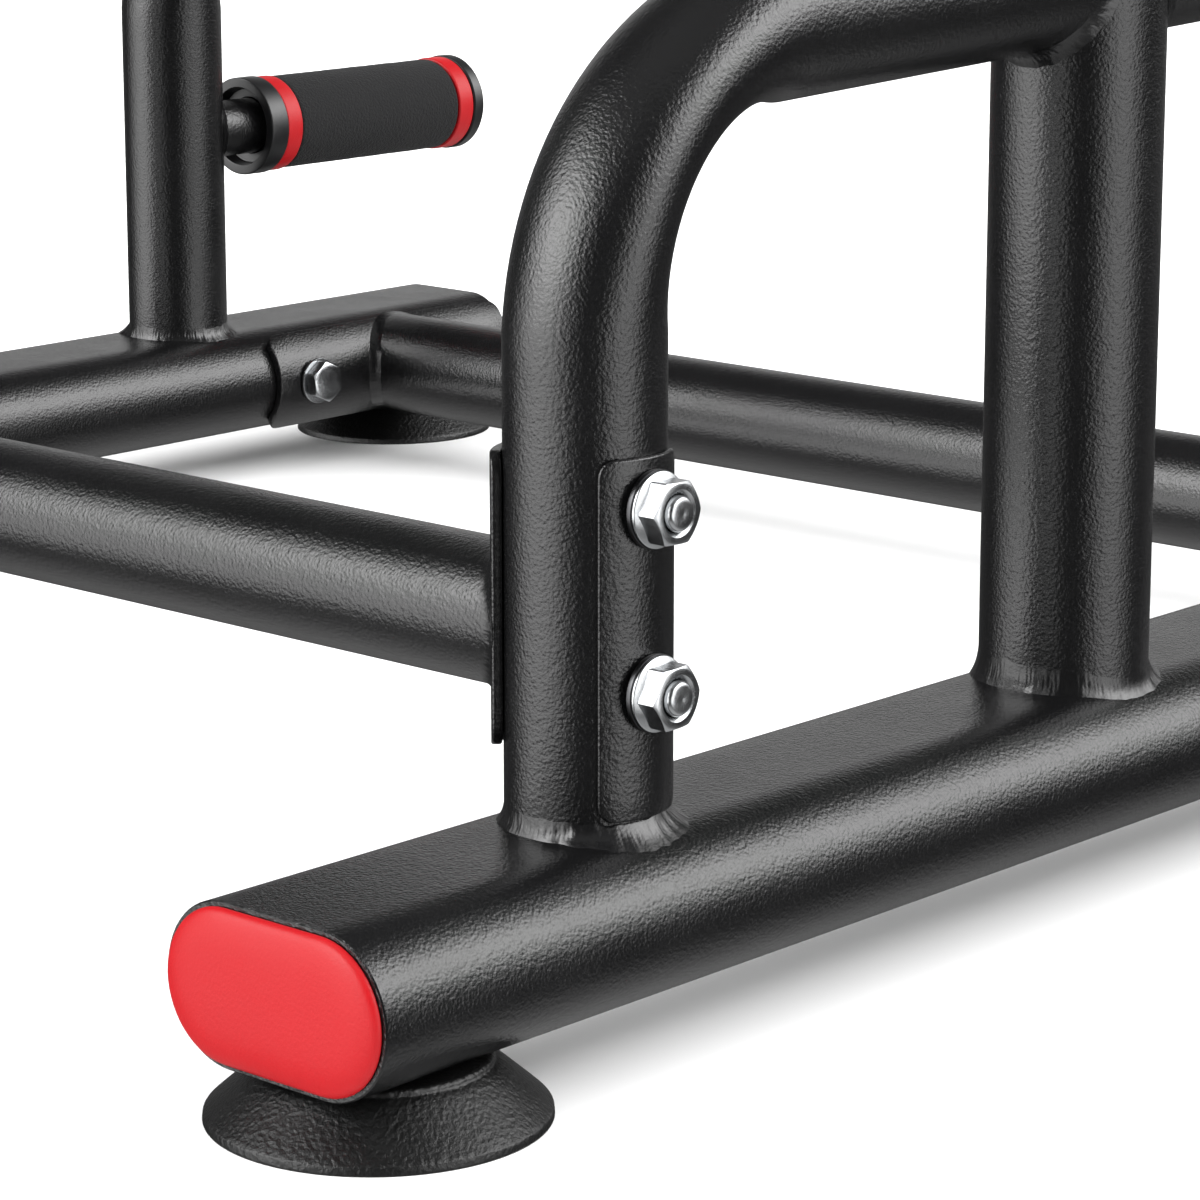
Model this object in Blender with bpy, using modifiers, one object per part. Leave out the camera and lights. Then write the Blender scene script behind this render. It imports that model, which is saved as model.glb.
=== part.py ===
"""Free-standing pull-up station, modelled in metres, +Z up.

The origin lies on the floor under the middle of the station. +X is the right side and +Y is the side that
the user stands on. The feet are flat-oval steel tube and the rest is round tube, with caps, cups and grips on it.
"""

import math

import bmesh
import bpy
from mathutils import Matrix, Vector

GAP = 0.0003  # clearance between pieces that touch

# Feet: flat-oval tubes lying along Y
FOOT_X = 0.334
FOOT_Z = 0.040
FOOT_W, FOOT_H, FOOT_WALL = 0.080, 0.045, 0.002
FOOT_HALF = 0.375
CAP_RIM = 0.0015  # width of tube end left showing round a cap
CAP_DOME = 0.0037
CAP_SKIRT = 0.0108

# Suction cups
CUP_Y = 0.3385
CUP_R, CUP_NECK_R = 0.046, 0.0305
CUP_STUD_R = 0.004

# Hoops and uprights
LEG_R, LEG_WALL = 0.022, 0.002
REAR_LEG_Y, FRONT_LEG_Y = -0.2588, 0.202
HOOP_Z, HOOP_R = 0.2719, 0.0757  # centreline height where the rear bend ends, and bend radius
HOOP_RISE = math.radians(2.2)  # the top run climbs towards the front
POST_R, POST_WALL = 0.026, 0.002
POST_Y = -0.041
POST_TOP = 1.580
BEAD_R = 0.004

# Curved flanges and their fasteners
FLANGE_T = 0.003
STRIP_T = 0.0015
STUD_R, STUD_HOLE_R = 0.005, 0.0055
STUD_Z = (0.1021, 0.1518)
NUT_AF, NUT_H = 0.0165, 0.0078
STRIP_HALF = math.radians(39.5)
WASHER_R, WASHER_T = 0.0107, 0.0015

# Rear crossbar
REAR_BAR_R, REAR_BAR_WALL, REAR_BAR_Z = 0.020, 0.0018, 0.1155
REAR_FLANGE_Z = (0.0836, 0.1642)
VENT_R = 0.0035  # hole that lets a closed bar breathe

# Front floor bar
FRONT_BAR_R, FRONT_BAR_WALL, FRONT_BAR_Y = 0.0225, 0.0018, 0.305
FRONT_FLANGE_Y = (-0.081, 0.067)  # from the bar's axis
FRONT_FLANGE_T = 0.0035
FRONT_BOLT_DY = (-0.059, 0.053)

# Push-up handles
HANDLE_Z = 0.152
HANDLE_TUBE_R = 0.0125
HANDLE_Y = 0.242  # inner face of the inner collar
COLLAR_L, RING_L, FOAM_L, KNOB_L = 0.0103, 0.0095, 0.102, 0.0102
COLLAR_R, RING_R, FOAM_R = 0.022, 0.0215, 0.021

# Middle crossbar and dip arms
MID_BAR_Z = 1.100
MID_BAR_R = 0.020
MID_FLANGE_HALF = 0.045
DIP_X, DIP_R, DIP_END_Y = 0.250, 0.016, 0.330
DIP_GRIP_Y = (0.178, 0.318)

# Masts
MAST_R, MAST_WALL = 0.022, 0.0015
MAST_BOTTOM = 1.1055  # just above the middle studs, which the masts come to rest on
HOLE_PITCH, HOLE_COUNT = 0.050, 5
PIN_Z, PIN_R = 1.500, 0.0047
PIN_TRAVEL = 0.012

# Pull-up bar
BAR_R, BAR_WALL, BAR_Z = 0.016, 0.002, 1.960
BAR_STRAIGHT, BAR_BEND_R, BAR_BEND = 0.430, 0.080, math.radians(22)
BAR_TAIL = 0.130

BLACK = (0.016, 0.016, 0.017)
FOAM = (0.022, 0.022, 0.024)
RUBBER = (0.010, 0.010, 0.010)
RED = (0.62, 0.012, 0.030)
ZINC = (0.62, 0.64, 0.66)
PLASTIC = (0.014, 0.014, 0.015)

PLANES = {"XY": (0, 0, 0), "XZ": (math.pi / 2, 0, 0), "YZ": (math.pi / 2, 0, math.pi / 2)}
ALONG = {"X": (0, math.pi / 2, 0), "Y": (-math.pi / 2, 0, 0), "Z": (0, 0, 0)}


def new_collection(name, hidden=False):
    made = bpy.data.collections.new(name)
    made.hide_render = hidden
    bpy.context.scene.collection.children.link(made)
    return made


for leftover in list(bpy.data.objects):
    bpy.data.objects.remove(leftover, do_unlink=True)
STATION = new_collection("pull_up_station")
CUTTERS = new_collection("cutters", hidden=True)


def add_object(name, data, location=(0, 0, 0), rotation=(0, 0, 0), helper=False):
    made = bpy.data.objects.new(name, data)
    (CUTTERS if helper else STATION).objects.link(made)
    made.location, made.rotation_euler = location, rotation
    if helper:
        made.hide_render = True
        made.display_type = "WIRE"
    return made


def paint(obj, colour, roughness, metallic=0.0):
    finish = bpy.data.materials.new(obj.name + "_finish")
    finish.use_nodes = True
    shader = finish.node_tree.nodes["Principled BSDF"]
    shader.inputs["Base Color"].default_value = (*colour, 1)
    shader.inputs["Roughness"].default_value = roughness
    shader.inputs["Metallic"].default_value = metallic
    finish.diffuse_color = (*colour, 1)
    obj.data.materials.clear()
    obj.data.materials.append(finish)
    return obj


def coated(obj):
    return paint(obj, BLACK, 0.45, 0.3)


def smooth(mesh):
    mesh.shade_smooth()
    mesh.set_sharp_from_angle(angle=math.radians(40))


def oval_points(w, h, n):
    """Flat-oval outline, w along the first axis and h along the second, n steps round each end."""
    r = min(w, h) / 2
    run = max(w, h) / 2 - r
    points = []
    for side in (0, 1):
        for k in range(n + 1):
            t = math.pi * (side + k / n) - math.pi / 2
            points.append((r * math.cos(t) + (run, -run)[side], r * math.sin(t)))
    return [(-y, x) for x, y in points] if h > w else points


def poly_curve(name, points, cyclic=False, planar=True):
    curve = bpy.data.curves.new(name, "CURVE")
    curve.dimensions = "2D" if planar else "3D"
    if planar:
        curve.fill_mode = "NONE"
    spline = curve.splines.new("POLY")
    spline.points.add(len(points) - 1)
    for point, place in zip(spline.points, points):
        point.co = (*place, 1) if len(place) == 3 else (*place, 0, 1)
    spline.use_cyclic_u = cyclic
    return curve


def mesh_from_curve(curve, guide=None):
    """The curve's surface as a mesh with its seams welded; the curve and its section guide are removed."""
    holder = bpy.data.objects.new("path", curve)
    CUTTERS.objects.link(holder)
    bpy.context.view_layer.update()
    graph = bpy.context.evaluated_depsgraph_get()
    mesh = bpy.data.meshes.new_from_object(holder.evaluated_get(graph))
    work = bmesh.new()
    work.from_mesh(mesh)
    bmesh.ops.remove_doubles(work, verts=work.verts, dist=1e-6)
    work.to_mesh(mesh)
    work.free()
    bpy.data.objects.remove(holder, do_unlink=True)
    if guide:
        bpy.data.objects.remove(guide, do_unlink=True)
    return mesh


def solidify(obj, thickness):
    shell = obj.modifiers.new("wall", "SOLIDIFY")
    shell.thickness, shell.offset = thickness, 0
    shell.use_even_offset = True
    return obj


def oval_tube(name, path, w, h, wall, plane, location, n=5, helper=False):
    """Hollow flat-oval tube along a flat path: w lies in the path's plane and h across it."""
    section = add_object(name + "_section", poly_curve("section", oval_points(w - wall, h - wall, n), True), helper=True)
    curve = poly_curve(name, path)
    curve.bevel_mode, curve.bevel_object = "OBJECT", section
    mesh = mesh_from_curve(curve, section)
    smooth(mesh)
    return solidify(add_object(name, mesh, location, PLANES[plane], helper), wall)


def round_tube(name, path, r, wall, plane, location, rounds=6, helper=False):
    """Hollow round tube along a flat path, with 4 + 2 * rounds sides."""
    curve = poly_curve(name, path)
    curve.bevel_depth, curve.bevel_resolution = r - wall / 2, rounds
    mesh = mesh_from_curve(curve)
    smooth(mesh)
    return solidify(add_object(name, mesh, location, PLANES[plane], helper), wall)


def oval_block(name, w, h, depth, location, rotation, round_over=0.0, n=6, helper=False):
    """Solid flat-oval plate, its outline in the local XY plane and its thickness centred on local Z."""
    curve = poly_curve(name, oval_points(w, h, n), True)
    curve.fill_mode, curve.extrude = "BOTH", depth / 2
    mesh = mesh_from_curve(curve)
    work = bmesh.new()
    work.from_mesh(mesh)
    bmesh.ops.recalc_face_normals(work, faces=work.faces)
    for side in (-1, 1):
        flat = [f for f in work.faces if f.normal.z * side > 0.9]
        bmesh.ops.dissolve_faces(work, faces=flat)
    if round_over:
        edges = [e for e in work.edges if all(v.co.z > depth / 2 - 1e-6 for v in e.verts)]
        bmesh.ops.bevel(work, geom=edges, offset=round_over, segments=3, profile=0.5, affect="EDGES")
    work.to_mesh(mesh)
    work.free()
    smooth(mesh)
    return add_object(name, mesh, location, rotation, helper)


def cylinders(name, places, r, length, along, segments=12, helper=True):
    """One mesh of cylinders centred on the given places, all along one axis."""
    mesh = bpy.data.meshes.new(name)
    work = bmesh.new()
    turn = {"X": Matrix.Rotation(math.pi / 2, 4, "Y"), "Y": Matrix.Rotation(math.pi / 2, 4, "X"), "Z": Matrix()}[along]
    for place in places:
        bmesh.ops.create_cone(
            work, cap_ends=True, segments=segments, radius1=r, radius2=r, depth=length,
            matrix=Matrix.Translation(place) @ turn,
        )
    work.to_mesh(mesh)
    work.free()
    smooth(mesh)
    return add_object(name, mesh, helper=helper)


def turned(name, profile, location, along, steps=20, flip=False):
    """A profile of (radius, height) turned about its axis; it runs down the outer side, top to bottom."""
    closed = profile[0][0] > 0
    mesh = bpy.data.meshes.new(name)
    count = len(profile)
    edges = [(k, k + 1) for k in range(count - 1)] + ([(count - 1, 0)] if closed else [])
    mesh.from_pydata([(r, 0, z) for r, z in profile], edges, [])
    rotation = ALONG[along]
    if flip:
        rotation = tuple((Matrix.Rotation(math.pi, 3, "Z") @ Vector(rotation))) if along != "Z" else (math.pi, 0, 0)
    made = add_object(name, mesh, location, rotation)
    screw = made.modifiers.new("turn", "SCREW")
    screw.axis, screw.angle = "Z", 2 * math.pi
    screw.steps = screw.render_steps = steps
    screw.use_merge_vertices, screw.merge_threshold = True, 1e-5
    screw.use_smooth_shade = True
    return made


def boolean(obj, other, operation):
    step = obj.modifiers.new(operation.lower() + "_" + other.name, "BOOLEAN")
    step.operation, step.object, step.solver = operation, other, "EXACT"
    return obj


def cut(obj, *others):
    for other in others:
        boolean(obj, other, "DIFFERENCE")
    return obj


def join(obj, *others):
    for other in others:
        boolean(obj, other, "UNION")
    return obj


def side_name(s):
    return "right" if s > 0 else "left"


def foot_surface(dx):
    """Height of the foot's upper surface at dx from its middle."""
    flat, r = (FOOT_W - FOOT_H) / 2, FOOT_H / 2
    over = max(0.0, abs(dx) - flat)
    return FOOT_Z + math.sqrt(max(r * r - over * over, 0.0))


def weld_ring(name, r, x, y):
    """Fillet bead round the base of a post, lying on the foot's surface."""
    out = r + BEAD_R - 0.0018
    points = []
    for k in range(18):
        dx, dy = out * math.cos(math.pi * k / 9), out * math.sin(math.pi * k / 9)
        points.append((dx, dy, foot_surface(dx)))
    curve = poly_curve(name, points, True, planar=False)
    curve.bevel_depth, curve.bevel_resolution = BEAD_R, 1
    return add_object(name, mesh_from_curve(curve), (x, y, 0), helper=True)


def arc_plate(name, centre, r_in, thickness, half_angle, facing, low, high, axis="Z"):
    """Curved flange: part of a cylinder's wall about an axis along Z or Y, its middle facing +X or -X."""
    r = r_in + thickness / 2
    points = []
    for k in range(10):
        t = half_angle * (k / 4.5 - 1) + (0 if facing > 0 else math.pi)
        points.append((r * math.cos(t), r * math.sin(t)))
    curve = poly_curve(name, points)
    curve.extrude = (high - low) / 2
    rotation = PLANES["XY"] if axis == "Z" else PLANES["XZ"]
    made = add_object(name, mesh_from_curve(curve), centre, rotation, helper=True)
    return solidify(made, thickness)


# ---------------------------------------------------------------- feet, caps and cups
foot_outline = {}
for s in (1, -1):
    side = side_name(s)
    x = s * FOOT_X
    foot = coated(oval_tube(
        "foot_tube_" + side, [(-FOOT_HALF, 0), (FOOT_HALF, 0)], FOOT_H, FOOT_W, FOOT_WALL, "YZ", (x, 0, FOOT_Z), n=8))
    cut(foot, cylinders("cup_holes_" + side, [(x, -CUP_Y, 0.020), (x, CUP_Y, 0.020)], CUP_STUD_R + 0.0005, 0.020, "Z"))
    cut(foot, cylinders(
        "floor_bar_holes_" + side,
        [(s * 0.298, FRONT_BAR_Y + d, FOOT_Z) for d in FRONT_BOLT_DY], STUD_HOLE_R, 0.024, "X"))
    foot_outline[s] = oval_block(
        "foot_outline_" + side, FOOT_H + 2 * GAP, FOOT_W + 2 * GAP, 2 * FOOT_HALF + 0.02,
        (x, 0, FOOT_Z), (math.pi / 2, math.pi / 2, 0), n=8, helper=True)

    for end, e in (("rear", -1), ("front", 1)):
        head_t = CAP_DOME
        cap = oval_block(
            f"end_cap_{side}_{end}", FOOT_W - 2 * CAP_RIM, FOOT_H - 2 * CAP_RIM, head_t,
            (x, e * (FOOT_HALF + GAP + head_t / 2), FOOT_Z), (-e * math.pi / 2, 0, 0), round_over=0.0030, n=8)
        inner_w, inner_h = FOOT_W - 2 * FOOT_WALL - 2 * GAP, FOOT_H - 2 * FOOT_WALL - 2 * GAP
        start, stop = FOOT_HALF - CAP_SKIRT, FOOT_HALF + GAP + 0.001
        skirt = oval_tube(
            f"cap_skirt_{side}_{end}", [(e * start, 0), (e * stop, 0)], inner_h, inner_w, 0.002,
            "YZ", (x, 0, FOOT_Z), n=8, helper=True)
        paint(join(cap, skirt), RED, 0.42)

        paint(turned(
            f"suction_cup_{side}_{end}",
            [
                (0, 0.030), (CUP_STUD_R, 0.030), (CUP_STUD_R, 0.0172), (CUP_NECK_R - 0.001, 0.0172),
                (CUP_NECK_R, 0.0166), (0.0352, 0.0119), (0.0405, 0.0078), (0.0448, 0.0042), (CUP_R, 0.0025), (CUP_R, 0.0),
                (0.0415, 0.0), (0.0370, 0.0026), (0.0200, 0.0050), (0, 0.0055),
            ],
            (x, e * CUP_Y, 0), "Z", steps=20), RUBBER, 0.6)

# ---------------------------------------------------------------- hoops and uprights
HOOP_START = 0.054  # below the foot's crown, so that the saddle cut shapes the end
RUN_FROM_Y = REAR_LEG_Y + HOOP_R - HOOP_R * math.sin(HOOP_RISE)


def run_height(y):
    """Height of the top run's centreline at y."""
    return HOOP_Z + (y - RUN_FROM_Y) * math.tan(HOOP_RISE)


def hoop_path(leg_y, end_y):
    """From the foot up the leg, round the bend and along the climbing top run into the upright."""
    toward = 1 if end_y > leg_y else -1
    turn = math.pi / 2 - toward * HOOP_RISE
    centre_y = leg_y + toward * HOOP_R
    bend_end_y = centre_y - toward * HOOP_R * math.cos(turn)
    centre_z = run_height(bend_end_y) - HOOP_R * math.sin(turn)
    points = [(leg_y, HOOP_START)]
    for k in range(7):
        t = turn * k / 6
        points.append((centre_y - toward * HOOP_R * math.cos(t), centre_z + HOOP_R * math.sin(t)))
    return points + [(end_y, run_height(end_y))]


for s in (1, -1):
    side = side_name(s)
    x = s * FOOT_X
    for end, leg_y, e in (("rear", REAR_LEG_Y, -1), ("front", FRONT_LEG_Y, 1)):
        hoop = round_tube(
            f"hoop_{side}_{end}", hoop_path(leg_y, POST_Y + e * 0.010), LEG_R, LEG_WALL, "YZ", (x, 0, 0), rounds=8)
        cut(hoop, cylinders(f"hoop_cope_{side}_{end}", [(x, POST_Y, 0.270)], POST_R + GAP, 0.120, "Z", 32))
        join(hoop, weld_ring(f"bead_{side}_{end}", LEG_R, x, leg_y))
        cut(hoop, foot_outline[s])
        if end == "rear":
            cut(hoop, cylinders(
                "rear_stud_holes_" + side, [(x, leg_y, z) for z in STUD_Z], STUD_HOLE_R, 0.070, "X"))
        coated(hoop)

    post = round_tube(
        "upright_" + side, [(POST_Y, HOOP_START), (POST_Y, POST_TOP)], POST_R, POST_WALL, "YZ", (x, 0, 0), rounds=8)
    join(post, weld_ring("post_bead_" + side, POST_R, x, POST_Y))
    cut(post, foot_outline[s])
    join(post, cylinders("plunger_boss_" + side, [(x + s * 0.0326, POST_Y, PIN_Z)], 0.011, 0.0188, "X", 16))
    cut(post, cylinders("plunger_bore_" + side, [(x + s * 0.0400, POST_Y, PIN_Z)], PIN_R + 0.0004, 0.050, "X"))
    cut(post, cylinders("mid_stud_holes_" + side, [(x, POST_Y, MID_BAR_Z)], STUD_HOLE_R, 0.080, "X"))
    coated(post)

    bush = round_tube(
        "mast_bush_" + side, [(POST_Y, POST_TOP - 0.030), (POST_Y, POST_TOP + 0.005)],
        POST_R - POST_WALL - GAP, 0.0014, "YZ", (x, 0, 0), rounds=8)
    lip = round_tube(
        "bush_lip_" + side, [(POST_Y, POST_TOP + GAP), (POST_Y, POST_TOP + 0.0045)],
        POST_R, 0.0034, "YZ", (x, 0, 0), rounds=8, helper=True)
    paint(join(bush, lip), PLASTIC, 0.4)

# ---------------------------------------------------------------- bars with curved flanges


def stud_bar(name, z, r, wall, post_r, half_angle, flange_z, stud_z, stud_end, y, vent):
    """Crossbar: a round tube, a flange round the inner side of each post, studs through the post and a vent hole."""
    bar = round_tube(name, [(-FOOT_X + 0.012, 0), (FOOT_X - 0.012, 0)], r, wall, "XZ", (0, y, z))
    r_in = post_r + GAP
    cut(bar, cylinders(name + "_cope", [(s * FOOT_X, y, z) for s in (1, -1)], r_in + 0.63 * FLANGE_T, 2.4 * r, "Z", 24))
    for s in (1, -1):
        join(bar, arc_plate(
            f"{name}_flange_{side_name(s)}", (s * FOOT_X, y, sum(flange_z) / 2), r_in, FLANGE_T,
            math.radians(half_angle), -s, *flange_z))
        start = FOOT_X - r_in - 0.37 * FLANGE_T
        join(bar, cylinders(
            f"{name}_studs_{side_name(s)}", [(s * (start + stud_end) / 2, y, k) for k in stud_z],
            STUD_R, stud_end - start, "X"))
        cut(bar, cylinders(
            f"{name}_vent_{side_name(s)}", [(s * (FOOT_X - r_in - FLANGE_T / 2), y, z + vent)], VENT_R, 0.014, "X"))
    return coated(bar)


stud_bar(
    "rear_crossbar", REAR_BAR_Z, REAR_BAR_R, REAR_BAR_WALL, LEG_R, 56,
    REAR_FLANGE_Z, STUD_Z, FOOT_X + LEG_R + STRIP_T + 0.0112, REAR_LEG_Y, 0.005)
stud_bar(
    "mid_crossbar", MID_BAR_Z, MID_BAR_R, REAR_BAR_WALL, POST_R, 45,
    (MID_BAR_Z - MID_FLANGE_HALF, MID_BAR_Z + MID_FLANGE_HALF), (MID_BAR_Z,), FOOT_X + POST_R + 0.0110, POST_Y, 0.011)

floor_round_x = FOOT_X - (FOOT_W - FOOT_H) / 2
floor_r_in = FOOT_H / 2 + GAP
floor_bar = round_tube(
    "front_crossbar", [(-floor_round_x + 0.010, 0), (floor_round_x - 0.010, 0)], FRONT_BAR_R, FRONT_BAR_WALL,
    "XZ", (0, FRONT_BAR_Y, FOOT_Z), rounds=6)
cut(floor_bar, cylinders(
    "floor_bar_cope", [(s * floor_round_x, FRONT_BAR_Y, FOOT_Z) for s in (1, -1)],
    floor_r_in + FRONT_FLANGE_T / 2, 0.060, "Y", 24))
for s in (1, -1):
    plate = arc_plate(
        "floor_flange_" + side_name(s), (s * floor_round_x, FRONT_BAR_Y + sum(FRONT_FLANGE_Y) / 2, FOOT_Z), floor_r_in,
        FRONT_FLANGE_T,
        math.radians(55), -s, *FRONT_FLANGE_Y, axis="Y")
    join(floor_bar, plate)
    cut(floor_bar, cylinders(
        "floor_flange_holes_" + side_name(s),
        [(s * 0.292, FRONT_BAR_Y + d, FOOT_Z) for d in (*FRONT_BOLT_DY, 0)], STUD_HOLE_R, 0.016, "X"))
coated(floor_bar)

# ---------------------------------------------------------------- strips, nuts and bolts


def nut(name, x, y, z, s):
    """Washer and hex nut as one piece, its seat at x and its outer face away from the middle."""
    body = cylinders(name, [(x + s * WASHER_T / 2, y, z)], WASHER_R, WASHER_T, "X", 20, helper=False)
    hex_r = NUT_AF / 2 / math.cos(math.pi / 6)
    join(body, cylinders(name + "_hex", [(x + s * (WASHER_T + NUT_H / 2 - 0.0002), y, z)], hex_r, NUT_H + 0.0004, "X", 6))
    cut(body, cylinders(name + "_bore", [(x + s * 0.004, y, z)], STUD_R + GAP, 0.020, "X"))
    return paint(body, ZINC, 0.25, 1.0)


for s in (1, -1):
    side = side_name(s)
    points_r = LEG_R + GAP + STRIP_T / 2
    points = []
    for k in range(9):
        t = STRIP_HALF * (k / 4 - 1) + (0 if s > 0 else math.pi)
        points.append((points_r * math.cos(t), points_r * math.sin(t)))
    curve = poly_curve("nut_strip_" + side, points)
    curve.extrude = 0.049
    strip = solidify(add_object("nut_strip_" + side, mesh_from_curve(curve), (s * FOOT_X, REAR_LEG_Y, 0.1168)), STRIP_T)
    cut(strip, cylinders(
        "strip_holes_" + side, [(s * (FOOT_X + 0.023), REAR_LEG_Y, z) for z in STUD_Z], STUD_HOLE_R, 0.012, "X"))
    smooth(strip.data)
    coated(strip)
    for level, z in zip(("lower", "upper"), STUD_Z):
        nut(f"rear_nut_{side}_{level}", s * (FOOT_X + LEG_R + STRIP_T + 2 * GAP), REAR_LEG_Y, z, s)
    nut(f"mid_nut_{side}", s * (FOOT_X + POST_R + GAP), POST_Y, MID_BAR_Z, s)

    seat = floor_round_x - floor_r_in - FRONT_FLANGE_T - GAP
    for end, d in zip(("rear", "front"), FRONT_BOLT_DY):
        y = FRONT_BAR_Y + d
        name = f"floor_bolt_{side}_{end}"
        bolt = cylinders(name, [(s * (seat - WASHER_T / 2), y, FOOT_Z)], WASHER_R, WASHER_T, "X", 20, helper=False)
        hex_r = NUT_AF / 2 / math.cos(math.pi / 6)
        join(bolt, cylinders(name + "_head", [(s * (seat - WASHER_T - 0.0030), y, FOOT_Z)], hex_r, 0.0064, "X", 6))
        join(bolt, cylinders(name + "_shank", [(s * (seat + 0.008), y, FOOT_Z)], STUD_R, 0.018, "X"))
        paint(bolt, ZINC, 0.25, 1.0)

# ---------------------------------------------------------------- push-up handles


def sleeve(name, r_out, r_in, start, stop, x, z, rounds=6):
    """Hollow cylinder along Y."""
    return round_tube(name, [(start, 0), (stop, 0)], r_out, r_out - r_in, "YZ", (x, 0, z), rounds)


def end_knob(name, r, bore_r, length, depth, location, along, flip=False):
    """Rounded end cap that fits over a tube: closed outside, with a socket of the given depth."""
    return turned(
        name,
        [
            (0, length), (r * 0.55, length - 0.0006), (r * 0.85, length - 0.0024), (r, length - 0.0060), (r, 0.001),
            (r - 0.001, 0), (bore_r, 0), (bore_r, depth), (0, depth),
        ],
        location, along, steps=16, flip=flip)


for s in (1, -1):
    side = side_name(s)
    x = s * FOOT_X
    y = HANDLE_Y
    bore = HANDLE_TUBE_R + GAP
    collar = sleeve("pushup_collar_" + side, COLLAR_R, bore, y, y + COLLAR_L - GAP, x, HANDLE_Z)
    paint(collar, PLASTIC, 0.4)
    y += COLLAR_L
    paint(sleeve("pushup_ring_inner_" + side, RING_R, bore, y, y + RING_L - GAP, x, HANDLE_Z), RED, 0.4)
    y += RING_L
    paint(sleeve("pushup_grip_" + side, FOAM_R, bore, y, y + FOAM_L - GAP, x, HANDLE_Z), FOAM, 0.85)
    y += FOAM_L
    paint(sleeve("pushup_ring_outer_" + side, RING_R, bore, y, y + RING_L - GAP, x, HANDLE_Z), RED, 0.4)
    y += RING_L
    tube = sleeve(
        "pushup_tube_" + side, HANDLE_TUBE_R, HANDLE_TUBE_R - 0.0015, FRONT_LEG_Y + 0.012, y + 0.004, x, HANDLE_Z)
    coated(cut(tube, cylinders("pushup_cope_" + side, [(x, FRONT_LEG_Y, HANDLE_Z)], LEG_R + GAP, 0.040, "Z", 32)))
    paint(end_knob("pushup_end_cap_" + side, COLLAR_R, bore, KNOB_L, 0.0045, (x, y, HANDLE_Z), "Y"), PLASTIC, 0.4)

# ---------------------------------------------------------------- dip arms
for s in (1, -1):
    side = side_name(s)
    x = s * DIP_X
    arm = round_tube("dip_arm_" + side, [(POST_Y + 0.008, 0), (DIP_END_Y, 0)], DIP_R, 0.0018, "YZ", (x, 0, MID_BAR_Z))
    cut(arm, cylinders("dip_cope_" + side, [(x, POST_Y, MID_BAR_Z)], MID_BAR_R + GAP, 0.060, "X", 32))
    coated(arm)
    paint(sleeve("dip_grip_" + side, FOAM_R, DIP_R + GAP, *DIP_GRIP_Y, x, MID_BAR_Z), FOAM, 0.85)
    paint(end_knob(
        "dip_end_cap_" + side, COLLAR_R, DIP_R + GAP, 0.018, DIP_END_Y + GAP - DIP_GRIP_Y[1] - GAP,
        (x, DIP_GRIP_Y[1] + GAP, MID_BAR_Z), "Y"), RED, 0.4)

# ---------------------------------------------------------------- masts and pull-up bar
bar_bend_end_x = BAR_STRAIGHT + BAR_BEND_R * math.sin(BAR_BEND)
bar_bend_end_z = -BAR_BEND_R * (1 - math.cos(BAR_BEND))
half_path = [
    (BAR_STRAIGHT + BAR_BEND_R * math.sin(BAR_BEND * k / 3), -BAR_BEND_R * (1 - math.cos(BAR_BEND * k / 3)))
    for k in range(4)
]
half_path.append((bar_bend_end_x + BAR_TAIL * math.cos(BAR_BEND), bar_bend_end_z - BAR_TAIL * math.sin(BAR_BEND)))
bar_path = [(-px, pz) for px, pz in reversed(half_path)] + half_path
coated(round_tube("pullup_bar", bar_path, BAR_R, BAR_WALL, "XZ", (0, POST_Y, BAR_Z), rounds=6))


def along_tail(distance):
    return (bar_bend_end_x + distance * math.cos(BAR_BEND), bar_bend_end_z - distance * math.sin(BAR_BEND))


for s in (1, -1):
    side = side_name(s)
    x = s * FOOT_X
    mast = round_tube(
        "mast_" + side, [(POST_Y, MAST_BOTTOM), (POST_Y, BAR_Z - 0.007)], MAST_R, MAST_WALL, "YZ", (x, 0, 0), rounds=8)
    cut(mast, cylinders("mast_cope_" + side, [(x, POST_Y, BAR_Z)], BAR_R + GAP, 0.080, "X", 32))
    cut(mast, cylinders(
        "mast_holes_" + side, [(x + s * 0.022, POST_Y, PIN_Z - HOLE_PITCH * k) for k in range(HOLE_COUNT)],
        0.0055, 0.016, "X", 10))
    coated(mast)

    tail = [(s * px, pz) for px, pz in (along_tail(0.006), along_tail(BAR_TAIL - 0.012))]
    paint(round_tube(
        "pullup_grip_" + side, tail, 0.0195, 0.0195 - BAR_R - GAP, "XZ", (0, POST_Y, BAR_Z)), FOAM, 0.85)
    ex, ez = along_tail(BAR_TAIL - 0.0115)
    cap = end_knob("pullup_end_cap_" + side, 0.0200, BAR_R + GAP, 0.0165, 0.0115 + GAP, (s * ex, POST_Y, BAR_Z + ez), "X")
    cap.rotation_euler = (0, math.pi / 2 + BAR_BEND if s > 0 else -math.pi / 2 - BAR_BEND, 0)
    paint(cap, RED, 0.4)

    # locking plunger, drawn out and parked; its parent lies on the pin's axis
    pivot = bpy.data.objects.new("plunger_axis_" + side, None)
    STATION.objects.link(pivot)
    pivot.location = (x + s * (POST_R - 0.0017), POST_Y, PIN_Z)
    pivot.rotation_euler = (0, s * math.pi / 2, 0)
    knob_start = 0.0217 + PIN_TRAVEL
    plunger = turned(
        "plunger_" + side,
        [
            (0, knob_start + 0.026), (0.010, knob_start + 0.0255), (0.0145, knob_start + 0.022),
            (0.016, knob_start + 0.015), (0.015, knob_start + 0.006), (0.010, knob_start), (PIN_R, knob_start),
            (PIN_R, 0.0012), (PIN_R - 0.0012, 0), (0, 0),
        ],
        (0, 0, 0), "Z", steps=14)
    plunger.parent = pivot
    paint(plunger, PLASTIC, 0.4)

bpy.context.view_layer.update()
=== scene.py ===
"""Free-standing pull-up station: its visible pieces, their finishes, the floor, the light and the camera."""

import math

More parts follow.
